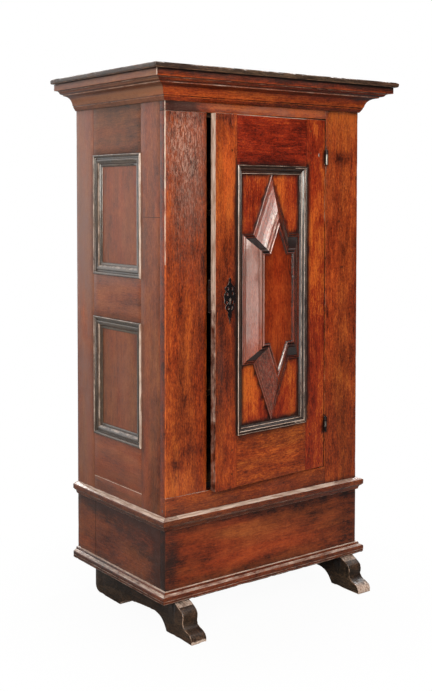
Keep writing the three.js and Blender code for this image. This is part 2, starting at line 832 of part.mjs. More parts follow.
// The raised figure: a tall field with a point above and a point below, set in from its shoulders.
function figure_contour() {
  const tip = (door_panel_head - door_panel_foot) / 2 - door_moulding_width - figure_margin;
  const neck = figure_neck_share * figure_half_width;
  const shoulder = (1 - figure_point_share) * tip;
  const quarter = [[figure_half_width, shoulder], [neck, shoulder], [0, tip]];
  const upper = [...quarter, ...quarter.slice(0, 2).reverse().map(([x, z]) => [-x, z])];
  const lower = upper.slice().reverse().map(([x, z]) => [x, -z]);
  return [...upper, ...lower].map(([x, z]) => new THREE.Vector2(x, z));
}

function add_door_figure() {
  const geometry = relief_geometry(figure_contour(), figure_slope_outline());
  add(door, "door_raised_figure", walnut, geometry.translate(door_centre_x, door_panel_y, door_centre_z));
}

// Key plate: a pierced iron leaf with a wavy edge
function plate_shape() {
  const half = plate_width / 2;
  const point = (across, along) => new THREE.Vector2(across * half, along * plate_length);
  const edge_shares = [[0, 0.47], [0.22, 0.42], [0.2, 0.36], [0.5, 0.3], [0.86, 0.24], [0.72, 0.17],
    [1, 0.09], [0.92, 0.01], [0.96, -0.06], [0.62, -0.11], [0.78, -0.17], [0.52, -0.24], [0.3, -0.27],
    [0.36, -0.34], [0.16, -0.4], [0, -0.53]];
  const right_edge = edge_shares.map(([across, along]) => point(across, along));
  const left_edge = edge_shares.slice(1, -1).reverse().map(([across, along]) => point(-across, along));
  const shape = new THREE.Shape();
  const curve = new THREE.SplineCurve([...right_edge, ...left_edge, right_edge[0]]);
  shape.setFromPoints(curve.getPoints(plate_edge_points).slice(0, -1));
  return shape;
}

// Slanting oval holes in mirrored pairs, round the same centre as the plate.
function plate_piercings(depth_range) {
  const [near, far] = depth_range;
  const hole_shares = [[0.42, 0.12], [0.46, -0.06], [0.34, 0.23], [0.3, -0.18]];
  const both_sides = hole_shares.flatMap(([across, along]) => [
    [across, along, piercing_lean],
    [-across, along, -piercing_lean],
  ]);
  return both_sides.map(([across, along, turn]) => {
    const hole = new THREE.CylinderGeometry(1, 1, 1, piercing_sides);
    hole.scale(piercing_across_share * plate_width, far - near, piercing_along_share * plate_length);
    hole.rotateY(turn);
    return hole.translate((across * plate_width) / 2, (near + far) / 2, along * plate_length);
  });
}

function add_key_plate() {
  const flat = new THREE.ExtrudeGeometry(plate_shape(), { depth: plate_thickness, bevelEnabled: false });
  flat.rotateX(Math.PI / 2).translate(key_x, door_face_y - seam, key_height);
  const through = [door_face_y - plate_thickness - overrun, door_face_y + overrun];
  const piercings = plate_piercings(through).map((hole) => hole.translate(key_x, 0, key_height));
  add(door, "key_plate", iron, cut(flat, [key_hole_cutter(through), ...piercings]));
}

// Lock on the back of the door, its bolt and its keeper

const lock_left = door_free_edge + lock_edge_setback;
const bolt_z = key_height + bolt_above_key;
const lock_front_y = door_back_y + seam;
const bolt_rear_y = lock_front_y + lock_depth - lock_wall - bolt_clearance;
const bolt_front_y = bolt_rear_y - bolt_thickness;

function add_lock() {
  const centre_z = (key_height + bolt_z) / 2;
  const shell = block(
    [lock_left, lock_left + lock_width],
    [lock_front_y, lock_front_y + lock_depth],
    [centre_z - lock_length / 2, centre_z + lock_length / 2],
  );
  const hollow = block(
    [lock_left + lock_wall, lock_left + lock_width - lock_wall],
    [lock_front_y - overrun, lock_front_y + lock_depth - lock_wall],
    [centre_z - lock_length / 2 + lock_wall, centre_z + lock_length / 2 - lock_wall],
  );
  const mouth = block(
    [lock_left - overrun, lock_left + lock_wall + overrun],
    [bolt_front_y - bolt_clearance, bolt_rear_y + bolt_clearance],
    [bolt_z - bolt_height / 2 - bolt_clearance, bolt_z + bolt_height / 2 + bolt_clearance],
  );
  add(door, "lock_case", iron, cut(shell, [hollow, mouth]));
}

function add_bolt() {
  add(door, "lock_bolt", iron, block(
    [lock_left, lock_left + bolt_length],
    [bolt_front_y, bolt_rear_y],
    [bolt_z - bolt_height / 2, bolt_z + bolt_height / 2],
  ));
}

// An iron bridge on the back of the left stile. The bolt shoots between it and the stile.
function add_keeper() {
  const centre_z = door_foot + bolt_z;
  const seat_y = inner_front_y + seam / 2;
  const inner_y = hinge_axis_y + bolt_rear_y + keeper_clearance;
  const outer_y = Math.max(inner_y, seat_y + keeper_thickness) + keeper_thickness;
  const half = bolt_height / 2 + keeper_clearance;
  const foot = half + keeper_thickness + keeper_foot;
  const shape = new THREE.Shape();
  shape.moveTo(seat_y, -foot);
  shape.lineTo(seat_y, -half);
  shape.lineTo(outer_y - keeper_thickness, -half);
  shape.lineTo(outer_y - keeper_thickness, half);
  shape.lineTo(seat_y, half);
  shape.lineTo(seat_y, foot);
  shape.lineTo(seat_y + keeper_thickness, foot);
  shape.lineTo(seat_y + keeper_thickness, half + keeper_thickness);
  shape.lineTo(outer_y, half + keeper_thickness);
  shape.lineTo(outer_y, -half - keeper_thickness);
  shape.lineTo(seat_y + keeper_thickness, -half - keeper_thickness);
  shape.lineTo(seat_y + keeper_thickness, -foot);
  const geometry = extrude_along_x(shape, keeper_width, 1);
  const start_x = opening_left - keeper_setback - keeper_width;
  add(cabinet, "bolt_keeper", iron, geometry.translate(start_x, 0, centre_z));
}

// Hinges, drawn round the hinge axis and centred on it in height

function upright(radius, from, to) {
  const geometry = new THREE.CylinderGeometry(radius, radius, to - from, barrel_sides);
  return geometry.rotateX(Math.PI / 2).translate(0, 0, (from + to) / 2);
}

// The frame half carries both end knuckles and the pin between them.
function frame_hinge_half() {
  const end = barrel_length / 2;
  const shoulder = barrel_length / 6 + knuckle_gap / 2;
  const outer_face = hinge_gap / 2 - seam / 2;
  const inner_face = outer_face - leaf_thickness + seam / 2;
  const leaf_start = barrel_radius + pin_clearance;
  const leaf_end = barrel_stand_off + leaf_depth;
  return join([
    upright(barrel_radius, shoulder, end),
    upright(barrel_radius, -end, -shoulder),
    upright(pin_radius, -end + knuckle_gap, end - knuckle_gap),
    block([inner_face, outer_face], [leaf_start, leaf_end], [-end, end]),
    block([inner_face, outer_face], [0, leaf_end], [shoulder, end]),
    block([inner_face, outer_face], [0, leaf_end], [-end, -shoulder]),
  ]);
}

// The door half carries the middle knuckle, bored for the pin.
function door_hinge_half() {
  const end = barrel_length / 2;
  const shoulder = barrel_length / 6 - knuckle_gap / 2;
  const outer_face = -hinge_gap / 2 + seam / 2;
  const inner_face = outer_face + leaf_thickness - seam / 2;
  const leaf_start = barrel_radius + pin_clearance;
  const leaf_end = barrel_stand_off + leaf_depth;
  const body = join([
    upright(barrel_radius, -shoulder, shoulder),
    block([outer_face, inner_face], [leaf_start, leaf_end], [-end, end]),
    block([outer_face, inner_face], [0, leaf_end], [-shoulder, shoulder]),
  ]);
  return cut(body, [upright(pin_radius + pin_clearance, -end, end)]);
}

function add_hinges() {
  const places = [
    { level: "lower", height: lower_hinge_height },
    { level: "upper", height: door_height - upper_hinge_drop },
  ];
  for (const { level, height } of places) {
    const fixed = frame_hinge_half().translate(hinge_axis_x, hinge_axis_y, door_foot + height);
    add(cabinet, `hinge_${level}_frame_half`, iron, fixed);
    add(door, `hinge_${level}_door_half`, iron, door_hinge_half().translate(0, 0, height));
  }
}

// The whole cupboard

function build_cabinet() {
  sides.forEach(add_runner);
  add_plinth();
  add_moulding_run("base_moulding", plinth_walnut, base_outline(), foot_height);
  add_moulding_run("waist_moulding", plinth_walnut, waist_outline(), waist_underside_height);
  add_front_frame();
  sides.forEach(add_side_frame);
  sides.forEach(add_side_panels);
  add_floor();
  add_shelves();
  add_back_boards();
  add_top_board();
  const cornice_foot = top_underside - cornice_moulding_height - seam / 2;
  add_moulding_run("cornice", walnut, cornice_outline(), cornice_foot);
  add_door_stop();
  add_keeper();
  add_hinges();
}

function build_door() {
  add_door_frame();
  add_door_panel();
  add_door_figure();
  add_key_plate();
  add_lock();
  add_bolt();
  door.position.set(hinge_axis_x, hinge_axis_y, door_foot);
  door.rotation.z = THREE.MathUtils.degToRad(door_ajar_degrees);
  cabinet.add(door);
}

build_cabinet();
build_door();

export default cabinet;
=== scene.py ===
import json
import math

import bmesh
import bpy
import numpy as np
from mathutils import Matrix, Vector, noise
from mathutils.bvhtree import BVHTree


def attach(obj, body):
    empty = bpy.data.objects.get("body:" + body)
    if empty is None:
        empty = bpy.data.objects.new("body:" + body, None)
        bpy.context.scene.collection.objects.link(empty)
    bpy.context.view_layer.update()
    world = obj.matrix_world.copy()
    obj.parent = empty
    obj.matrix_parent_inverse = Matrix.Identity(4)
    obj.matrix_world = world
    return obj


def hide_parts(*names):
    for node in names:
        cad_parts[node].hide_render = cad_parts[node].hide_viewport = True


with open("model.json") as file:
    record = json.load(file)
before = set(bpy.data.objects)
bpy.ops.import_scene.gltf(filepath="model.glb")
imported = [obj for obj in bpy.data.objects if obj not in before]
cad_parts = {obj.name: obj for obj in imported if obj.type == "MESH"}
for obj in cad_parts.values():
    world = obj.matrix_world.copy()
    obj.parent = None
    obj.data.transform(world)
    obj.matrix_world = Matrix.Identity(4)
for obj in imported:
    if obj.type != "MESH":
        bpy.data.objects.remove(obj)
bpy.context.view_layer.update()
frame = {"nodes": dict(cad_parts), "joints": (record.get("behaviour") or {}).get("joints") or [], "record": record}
NODES = frame["nodes"]

# The door's hinge line, and how far the door stands open at rest
DOOR_JOINT = next(joint for joint in frame["joints"] if joint["name"] == "door_hinge")
HINGE = Vector(DOOR_JOINT["pos_m"])
DOOR_TURN = -math.radians(DOOR_JOINT["range_deg"][0])
TO_HINGE = Matrix.Translation(HINGE)
CLOSE_DOOR = TO_HINGE @ Matrix.Rotation(-DOOR_TURN, 4, "Z") @ TO_HINGE.inverted()
OPEN_DOOR = CLOSE_DOOR.inverted()

BODY_OF = {
    node: body
    for body, nodes in frame["record"]["behaviour"]["bodies"].items()
    for node in nodes
}
SLOT_OF = {row["node"]: row["material_slot"] for row in frame["record"]["subparts"]}

# Ways that faces look
FRONT = Vector((0, -1, 0))
BACK = Vector((0, 1, 0))
LEFT = Vector((-1, 0, 0))

WHITE = (1, 1, 1, 1)


# node trees


class Tree:
    """Short calls for building the nodes of a material or a world."""

    def __init__(self, owner):
        owner.use_nodes = True
        self.nodes = owner.node_tree.nodes
        self.links = owner.node_tree.links
        self.nodes.clear()

    def node(self, kind, inputs=(), **settings):
        """A new node with these settings. Its inputs, by name or number, take plain values or links."""
        node = self.nodes.new("ShaderNode" + kind)
        for name, setting in settings.items():
            setattr(node, name, setting)
        for name, value in dict(inputs).items():
            socket = node.inputs[name]
            if isinstance(value, bpy.types.NodeSocket):
                self.links.new(value, socket)
            else:
                socket.default_value = value
        return node

    def attribute(self, name, output="Vector"):
        return self.node("Attribute", attribute_name=name).outputs[output]

    def math(self, operation, a, b=0.0, c=0.0, clamp=False):
        return self.node("Math", {0: a, 1: b, 2: c}, operation=operation, use_clamp=clamp).outputs[0]

    def times(self, a, b, clamp=False):
        return self.math("MULTIPLY", a, b, clamp=clamp)

    def added(self, value, amount, onto, clamp=False):
        """A value times an amount, added onto another."""
        return self.math("MULTIPLY_ADD", value, amount, onto, clamp)

    def vector_math(self, operation, a, b=(0, 0, 0), output="Vector"):
        return self.node("VectorMath", {0: a, 1: b}, operation=operation).outputs[output]

    def scaled(self, vector, scale):
        return self.vector_math("MULTIPLY", vector, scale)

    def split(self, vector):
        return self.node("SeparateXYZ", {0: vector}).outputs

    def noise(self, vector, scale, detail=3.0, roughness=0.5, distortion=0.0, output=0):
        """Noise with its own scale on each axis."""
        inputs = {
            "Vector": self.scaled(vector, scale),
            "Scale": 1.0,
            "Detail": detail,
            "Roughness": roughness,
            "Distortion": distortion,
        }
        return self.node("TexNoise", inputs).outputs[output]

    def cells(self, vector, scale):
        """The distance to the nearest of scattered points, and a colour for each of them."""
        return self.node("TexVoronoi", {"Vector": self.scaled(vector, scale), "Scale": 1.0}).outputs

    def remap(self, value, low, high, to_low=0.0, to_high=1.0, smooth=False):
        kind = "SMOOTHSTEP" if smooth else "LINEAR"
        inputs = {0: value, 1: low, 2: high, 3: to_low, 4: to_high}
        return self.node("MapRange", inputs, interpolation_type=kind, clamp=True).outputs[0]

    def ramp(self, value, stops):
        node = self.node("ValToRGB", {0: value})
        elements = node.color_ramp.elements
        while len(elements) < len(stops):
            elements.new(0.5)
        for element, (place, colour) in zip(elements, stops):
            element.position = place
            element.color = (*colour, 1)
        return node.outputs[0]

    def mix(self, share, a, b, blend="MIX"):
        """Colour a with its share of colour b laid on it."""
        a, b = ((*colour, 1) if isinstance(colour, tuple) else colour for colour in (a, b))
        inputs = {0: share, 6: a, 7: b}
        return self.node("Mix", inputs, data_type="RGBA", blend_type=blend, clamp_factor=True).outputs[2]

    def bump(self, height, strength, distance):
        return self.node("Bump", {"Strength": strength, "Distance": distance, "Height": height}).outputs[0]

    def mix_shaders(self, share, a, b):
        return self.node("MixShader", {0: share, 1: a.outputs[0], 2: b.outputs[0]})

    def surface(self, shader, output="OutputMaterial"):
        """Makes this shader what the material or the world shows."""
        self.node(output, {"Surface": shader.outputs[0]})


def srgb(r, g, b):
    """An 8-bit display colour as the linear colour that a shader takes."""
    return tuple((c / 255 / 12.92) if c <= 10 else ((c / 255 + 0.055) / 1.055) ** 2.4 for c in (r, g, b))


def toned(colour, factor):
    return tuple(factor * c for c in colour)


SCRATCHED = srgb(200, 160, 142)
# The colour of the haze, which is partly waxy bloom and partly a painted sheen
SHEEN_AND_HAZE_COLOUR = srgb(146, 108, 98)
# Soot, and the painted shade in corners, are laid on in this colour
SOOT_AND_SHADE_COLOUR = srgb(14, 7, 5)
# Pale colours for bare wood, and for the painted highlights that use them
BARE_AND_HIGHLIGHT_DARK = srgb(150, 112, 92)
BARE_AND_HIGHLIGHT_BRIGHT = srgb(232, 208, 192)

# What the timber's slow drifts in hue multiply its colour by
GREENISH = (0.76, 1.02, 0.92)
RUDDY = (1.14, 0.82, 0.68)


def wood(name, colours, shine=0.42, knots=1.0, sheen_and_bloom=0.0, contrast=1.0, worn=None, grime_and_shade=1.0, coat=0.5,
         coat_roughness=0.16, fine=1.0, coat_ior=1.5, relief=0.6, hue=0.5):
    """Old waxed timber, from its dark, middle and bright display colours. The mesh carries grain, a place
    along, across and deep in the timber; paint, which is light and shade, a haze of wax with painted sheen,
    and scratching; and one number each for gloss, wear, pale (bare wood and painted highlights) and corner
    darkening (soiling and painted shade together)."""
    material = bpy.data.materials.new(name)
    t = Tree(material)
    dark, middle, bright = (srgb(*colour) for colour in colours)
    rubbed = srgb(*worn) if worn else toned(bright, 1.4)
    grain = t.attribute("grain")
    light, sheen_and_bloom_paint, scratched = t.split(t.attribute("paint"))
    gloss = t.attribute("gloss", "Fac")
    wear = t.attribute("wear", "Fac")
    pale = t.attribute("pale", "Fac")
    # corner darkening: soiling and painted shade together
    dirt = t.attribute("dirt", "Fac")

    def drifted(scale, amount):
        """The grain's coordinates pushed about by a slow noise."""
        push = t.vector_math("SUBTRACT", t.noise(grain, scale, 2.0, output="Color"), (0.5, 0.5, 0.5))
        return t.vector_math("ADD", grain, t.scaled(push, amount))

    def centred(value, amount, onto):
        """Adds how far a noise is from its middle."""
        return t.added(t.math("SUBTRACT", value, 0.5), amount * contrast, onto)

    # patterns in the timber, from its figure down to flecks, and clouds across it
    bend = drifted((1.6, 5.0, 5.0), (0.0, 0.06, 0.06))
    figure = t.noise(bend, (2.4, 26, 26), 4, 0.6, 0.6)
    streak = t.noise(bend, (10, 150, 150), 4, 0.65)
    fleck = t.noise(bend, (46, 330, 330), 3, 0.65)
    mottle = t.noise(grain, (120, 230, 230), 3, 0.7)
    blotch = t.noise(grain, (13, 21, 21), 5, 0.62)
    broad = t.noise(grain, (1.9, 4.6, 4.6), 3, 0.55)

    # knots, each a dark core with rings round it
    knot = t.cells(drifted((9, 9, 9), (0.03, 0.03, 0.03)), (2.3, 6.8, 6.8))
    present = t.remap(t.split(knot["Color"])[0], 0.62, 0.66)
    near = t.math("ADD", knot["Distance"], t.remap(present, 0.0, 1.0, 1.0, 0.0))
    core = t.remap(near, 0.02, 0.10, 1.0, 0.0, True)
    halo = t.remap(near, 0.05, 0.30, 0.5, 0.0, True)
    ring = t.times(t.math("SINE", t.times(near, 90.0)), halo)

    # colour of the timber
    value = 0.5
    for pattern, amount in ((figure, 0.50), (streak, 0.75 * fine), (fleck, 0.95 * fine), (mottle, fine),
                            (blotch, 0.80), (broad, 0.75)):
        value = centred(pattern, amount, value)
    value = t.added(ring, 0.20 * knots, value)
    value = t.added(halo, -0.25 * knots, value)
    value = t.math("ADD", value, light, clamp=True)
    colour = t.ramp(value, [(0.0, toned(dark, 0.5)), (0.12, dark), (0.5, middle), (0.88, bright)])
    colour = t.mix(t.times(core, 0.9 * knots), colour, toned(dark, 0.2))

    # slow drifts in its hue
    tint = t.remap(t.noise(grain, (1.1, 8.0, 8.0), 3, 0.6), 0.40, 0.64, 0.0, hue, True)
    colour = t.mix(tint, colour, GREENISH, "MULTIPLY")
    ruddy = t.remap(t.noise(grain, (1.7, 11.0, 11.0), 3, 0.6), 0.44, 0.62, 0.0, hue, True)
    colour = t.mix(ruddy, colour, RUDDY, "MULTIPLY")

    # pores and nicks
    pores = t.remap(t.noise(bend, (60, 900, 900), 1, 0.5), 0.30, 0.42, 1.0, 0.0)
    colour = t.mix(t.times(pores, 0.4 * fine), colour, toned(dark, 0.4))
    nicks = t.remap(t.noise(grain, (55, 120, 120), 5, 0.75), 0.64, 0.69)
    colour = t.mix(t.times(nicks, 0.45 * fine), colour, toned(dark, 0.3))

    # scratches, and a haze that is partly waxy bloom and partly painted sheen
    scratch = t.remap(t.noise(grain, (42, 300, 300), 3, 0.75, 1.2), 0.50, 0.62)
    scratch = t.times(scratch, scratched, clamp=True)
    colour = t.mix(t.times(scratch, 0.8), colour, SCRATCHED)
    sheen_and_haze = t.noise(grain, (4.5, 11, 11), 5, 0.65)
    sheen_and_haze = t.times(t.remap(sheen_and_haze, 0.30, 0.66), t.math("ADD", sheen_and_bloom_paint, sheen_and_bloom), clamp=True)
    colour = t.mix(t.times(sheen_and_haze, 0.8), colour, SHEEN_AND_HAZE_COLOUR)

    # rubbed edges, and pale places: bare wood, and painted highlights where the pale value stands for them
    patchy = t.noise(grain, (30, 60, 60), 4, 0.65)
    edge = t.times(wear, t.remap(patchy, 0.36, 0.60), clamp=True)
    colour = t.mix(t.times(edge, 0.6), colour, rubbed)
    raw = t.noise(grain, (18, 120, 120), 4, 0.6)
    pale_colour = t.ramp(raw, [(0.3, BARE_AND_HIGHLIGHT_DARK), (0.62, BARE_AND_HIGHLIGHT_BRIGHT)])
    bare_and_highlight = t.remap(t.added(patchy, 0.6, pale), 0.62, 0.86)
    colour = t.mix(bare_and_highlight, colour, pale_colour)

    # soot and dust in the corners, and painted shade there: both follow how covered a point is,
    # less on pale places
    soot_and_shade = t.noise(grain, (17, 30, 30), 5, 0.7)
    soot_and_shade = t.times(dirt, t.remap(soot_and_shade, 0.25, 0.7, 0.9, 2.2), clamp=True)
    soot_and_shade = t.times(soot_and_shade, t.remap(bare_and_highlight, 0.0, 1.0, 1.0, 0.15))
    colour = t.mix(t.times(soot_and_shade, 0.92 * grime_and_shade), colour, SOOT_AND_SHADE_COLOUR)

    rough = centred(blotch, 0.24, shine)
    rough = centred(streak, 0.12, rough)
    rough = t.added(dirt, 0.20, rough)
    rough = t.added(sheen_and_haze, 0.10, rough)
    rough = t.added(bare_and_highlight, 0.10, rough, clamp=True)
    rough = t.math("MAXIMUM", rough, t.times(gloss, -1.0))

    height = t.times(streak, 0.5)
    for value, amount in ((pores, -0.5), (nicks, -0.7), (mottle, 0.6), (blotch, 1.1), (scratch, -0.5)):
        height = t.added(value, amount, height)
    normal = t.bump(height, relief, 0.0007)

    t.surface(t.node("BsdfPrincipled", {
        "Base Color": colour,
        "Roughness": rough,
        "Normal": normal,
        "Specular IOR Level": 0.35,
        "Coat Weight": t.times(gloss, coat, clamp=True),
        "Coat Roughness": coat_roughness,
        "Coat IOR": coat_ior,
        "Coat Normal": normal,
    }))
    return material


def iron(name):
    """Blackened wrought iron with some rust, bright where it is rubbed; that brightness also stands for
    highlights painted on its rims.
    """
    material = bpy.data.materials.new(name)
    t = Tree(material)
    grain = t.attribute("grain")
    hammer = t.noise(grain, (160, 160, 160), 3, 0.6)
    rust = t.remap(t.noise(grain, (60, 60, 60), 5, 0.7), 0.5, 0.72)
    rubbed = t.times(t.attribute("wear", "Fac"), 0.85)
    colour = t.mix(rust, srgb(44, 42, 44), srgb(74, 44, 30))
    # rubbed rims, light enough to be painted highlights as well as wear
    colour = t.mix(rubbed, colour, srgb(196, 190, 184))
    # pale places are painted highlights in a light metal colour
    colour = t.mix(t.attribute("pale", "Fac"), colour, srgb(236, 228, 216))
    t.surface(t.node("BsdfPrincipled", {
        "Base Color": colour,
        "Roughness": t.remap(hammer, 0.3, 0.7, 0.28, 0.5),
        "Normal": t.bump(hammer, 0.5, 0.0008),
        "Metallic": 0.75,
    }))
    return material


# What some of the woods share
FADED = dict(sheen_and_bloom=0.05, contrast=0.9, knots=0.3, grime_and_shade=0.6, fine=0.6)
POLISHED = dict(coat=1.0, coat_roughness=0.12)

# Each wood's colours are the dark, middle and bright ones of its timber
WOODS = {
    "front_walnut": dict(colours=((74, 22, 6), (150, 58, 20), (206, 100, 36))),
    "field_walnut": dict(colours=((88, 18, 4), (158, 46, 15), (222, 108, 36)), hue=0.3),
    "side_walnut": dict(colours=((82, 34, 15), (148, 76, 41), (186, 110, 68)), hue=0.6, **FADED),
    "brown_walnut": dict(colours=((62, 32, 14), (134, 76, 44), (174, 112, 72)), hue=0.5, **FADED),
    "plinth_walnut": dict(colours=((50, 16, 8), (140, 58, 26), (186, 90, 42)), grime_and_shade=0.8, fine=0.6, hue=0.7),
    "figure_walnut": dict(
        colours=((44, 16, 8), (142, 44, 11), (186, 80, 28)),
        shine=0.32, contrast=0.8, coat_ior=1.8, relief=0.3, **POLISHED,
    ),
    "dark_moulding": dict(
        colours=((12, 7, 5), (34, 19, 13), (66, 38, 26)), worn=(130, 92, 72),
        shine=0.3, knots=0.0, coat=1.0, coat_roughness=0.1, coat_ior=1.7, relief=0.25,
    ),
    "side_moulding": dict(
        colours=((36, 24, 15), (74, 54, 38), (108, 84, 62)),
        shine=0.32, knots=0.0, coat_ior=1.7, relief=0.3, grime_and_shade=0.8, **POLISHED,
    ),
    "moulding_walnut": dict(
        colours=((34, 14, 7), (104, 46, 22), (150, 76, 38)), worn=(170, 118, 90),
        knots=0.2, relief=0.4, **POLISHED,
    ),
    "foot_walnut": dict(colours=((14, 9, 7), (50, 35, 26), (100, 72, 54)), worn=(168, 124, 92), shine=0.45),
    "inner_wood": dict(
        colours=((64, 40, 24), (108, 76, 50), (146, 110, 78)),
        shine=0.7, knots=0.8, coat=0.0,
    ),
}
MATERIALS = {name: wood(name, **looks) for name, looks in WOODS.items()}
MATERIALS["iron"] = iron("iron")

SIDE_RINGS = [f"side_{side}_moulding_{level}" for side in ("left", "right") for level in ("lower", "upper")]
RINGS = ["door_panel_moulding", *SIDE_RINGS]

# Pieces whose wood has faded or reddened otherwise than the rest of their slot
OTHERWISE = {
    "side_moulding": SIDE_RINGS,
    "field_walnut": ("door_top_rail", "door_hinge_stile"),
    "foot_walnut": ("top_board",),
    "brown_walnut": ("cornice_left", "cornice_right", "side_left_top_rail", "side_right_top_rail"),
    "side_walnut": ("plinth_left", "plinth_right"),
}


def material_of(node):
    other = [name for name, nodes in OTHERWISE.items() if node in nodes]
    return MATERIALS[other[0] if other else SLOT_OF[node]]


def added_object(name, data):
    made = bpy.data.objects.new(name, data)
    bpy.context.scene.collection.objects.link(made)
    return made


# the solids, with the door shut


def solid_data(node):
    """Points and faces of a CAD node, with the door's pieces turned shut."""
    mesh = NODES[node].data
    turn = Matrix.Identity(4) if BODY_OF[node] == "cabinet" else CLOSE_DOOR
    points = [turn @ v.co for v in mesh.vertices]
    return points, [list(p.vertices) for p in mesh.polygons]


def box_of(points):
    low = Vector([min(p[i] for p in points) for i in range(3)])
    high = Vector([max(p[i] for p in points) for i in range(3)])
    return low, high


SOLIDS = {node: solid_data(node) for node in NODES}
SOLID_BOX = {node: box_of(points) for node, (points, faces) in SOLIDS.items()}


def tree_of(names):
    """These solids as one tree, for nearest points and rays."""
    points, faces = [], []
    for name in names:
        some, more = SOLIDS[name]
        faces += [[i + len(points) for i in face] for face in more]
        points += some
    return BVHTree.FromPolygons(points, faces)


def by_start(table, node, otherwise):
    """The first entry of a table whose key begins the node's name."""
    return next((entry for start, entry in table.items() if node.startswith(start)), otherwise)


def axis_of(node):
    """The axis that the grain runs along."""
    if node.startswith("side_") and node.endswith("rail"):
        return 1
    if node.endswith(("_rail", "_front")):
        return 0
    if node.startswith(("top_board", "floor_board", "door_stop", "shelf")):
        return 0
    if node.startswith(("plinth_", "base_moulding_", "waist_moulding_", "cornice_", "runner_")):
        return 1
    return 2


def grain_offset(node):
    """Where in the timber's pattern a piece is sawn from, by the letters of its name."""
    seed = sum((i + 1) * ord(letter) for i, letter in enumerate(node))
    return np.array([seed % 17 * 1.37, seed % 13 * 0.71, seed % 11 * 0.93])


# dirt in the corners, and painted shade there, both from how closely nearby solids cover a point

ALL_SOLIDS = tree_of(SOLIDS)

# Rays from a point: where they start over its face and how far they look, in metres, how many there
# are, and the turn from each to the next, in radians
COVER_START = 0.003
COVER_REACH = 0.055
COVER_RAYS = 14
GOLDEN_ANGLE = 2.399


def half_sphere(number):
    """Ways spread evenly over the half sphere round Z."""
    for k in range(number):
        height = (k + 0.5) / number
        reach = math.sqrt(1 - height * height)
        yield Vector((math.cos(k * GOLDEN_ANGLE) * reach, math.sin(k * GOLDEN_ANGLE) * reach, height))


COVER_WAYS = list(half_sphere(COVER_RAYS))


def covered(place, normal):
    """Share of the half space over a point that something close blocks, nearer counting more."""
    turn = normal.to_track_quat("Z", "Y")
    start = place + normal * COVER_START
    total = 0.0
    for way in COVER_WAYS:
        distance = ALL_SOLIDS.ray_cast(start, turn @ way, COVER_REACH)[3]
        if distance is not None:
            total += 1.0 - distance / COVER_REACH
    return total / len(COVER_WAYS)


# worn shapes

# Width of a free edge's rounding, and how finely the piece is cut up, in metres, by the start of its name
EDGES = {
    "runner": (0.0055, 0.012),
    "base_moulding": (0.0014, 0.009),
    "waist_moulding": (0.0014, 0.009),
    "cornice": (0.0012, 0.009),
    "top_board": (0.0016, 0.010),
    "door_panel_moulding": (0.0006, 0.030),
    "side_left_moulding": (0.0006, 0.030),
    "side_right_moulding": (0.0006, 0.030),
    "door_raised_figure": (0.0006, 0.030),
    "key_plate": (0.0005, 0.050),
    "lock_case": (0.0010, 0.050),
    "lock_bolt": (0.0008, 0.050),
    "bolt_keeper": (0.0006, 0.050),
    "hinge": (0.0004, 0.050),
    "front_stile_left": (0.0036, 0.016),
    "front_stile_right": (0.0030, 0.018),
    "frieze_rail": (0.0040, 0.018),
    "door_": (0.0022, 0.018),
}
PLAIN_EDGE = (0.0020, 0.030)

# Points nearer to each other than this, in metres, are one
WELD = 1e-6

# Levels nearer to each other than this share of the spacing count as one
SAME_LEVEL = 0.35

# How strongly the dents and chips of a piece's free edges come out, by the start of its name
CHIPPED = {
    "waist_moulding": 1.0,
    "base_moulding": 1.0,
    "top_board": 3.2,
    "cornice": 0.35,
    "runner": 1.6,
    "front_stile": 0.35,
    "plinth": 0.3,
    "door_": 0.15,
    "frieze": 0.3,
}
PLAIN_CHIPS = 0.2

# What wears a surface down: how deep, in metres, and how close together, in waves per metre
WAVE = (0.00035, 6.0)
RIPPLE = (0.00018, 31.0)
DENT = (0.0030, 26.0)
CHIP = (0.0050, 75.0)


def cut(bm, place, normal):
    """Cuts a mesh along a plane."""
    everything = bm.verts[:] + bm.edges[:] + bm.faces[:]
    bmesh.ops.bisect_plane(bm, geom=everything, dist=WELD, plane_co=place, plane_no=normal)


def cut_grid(bm, spacing):
    """Cuts the mesh by planes between the levels that its corners lie on."""
    for axis in range(3):
        levels = sorted({round(v.co[axis], 5) for v in bm.verts})
        merged = [levels[0]]
        for level in levels[1:]:
            if level - merged[-1] > SAME_LEVEL * spacing:
                merged.append(level)
        normal = Vector([float(i == axis) for i in range(3)])
        for low, high in zip(merged, merged[1:]):
            steps = int((high - low) / spacing)
            for k in range(1, steps + 1):
                cut(bm, normal * (low + (high - low) * k / (steps + 1)), normal)


def worn_shape(p, normal, wear, strength):
    """How far a point has gone in: slight waves everywhere, dents and chips along free edges."""
    depth = sum(deep * (0.5 + 0.5 * noise.noise(p * close)) for deep, close in (WAVE, RIPPLE))
    if wear > 0:
        dent = max(0.0, noise.noise(p * DENT[1] + Vector((7, 3, 1))) - 0.12)
        chip = max(0.0, noise.noise(p * CHIP[1] + Vector((1, 9, 4))) - 0.30)
        depth += strength * (DENT[0] * dent + CHIP[0] * chip)
    return -normal * depth
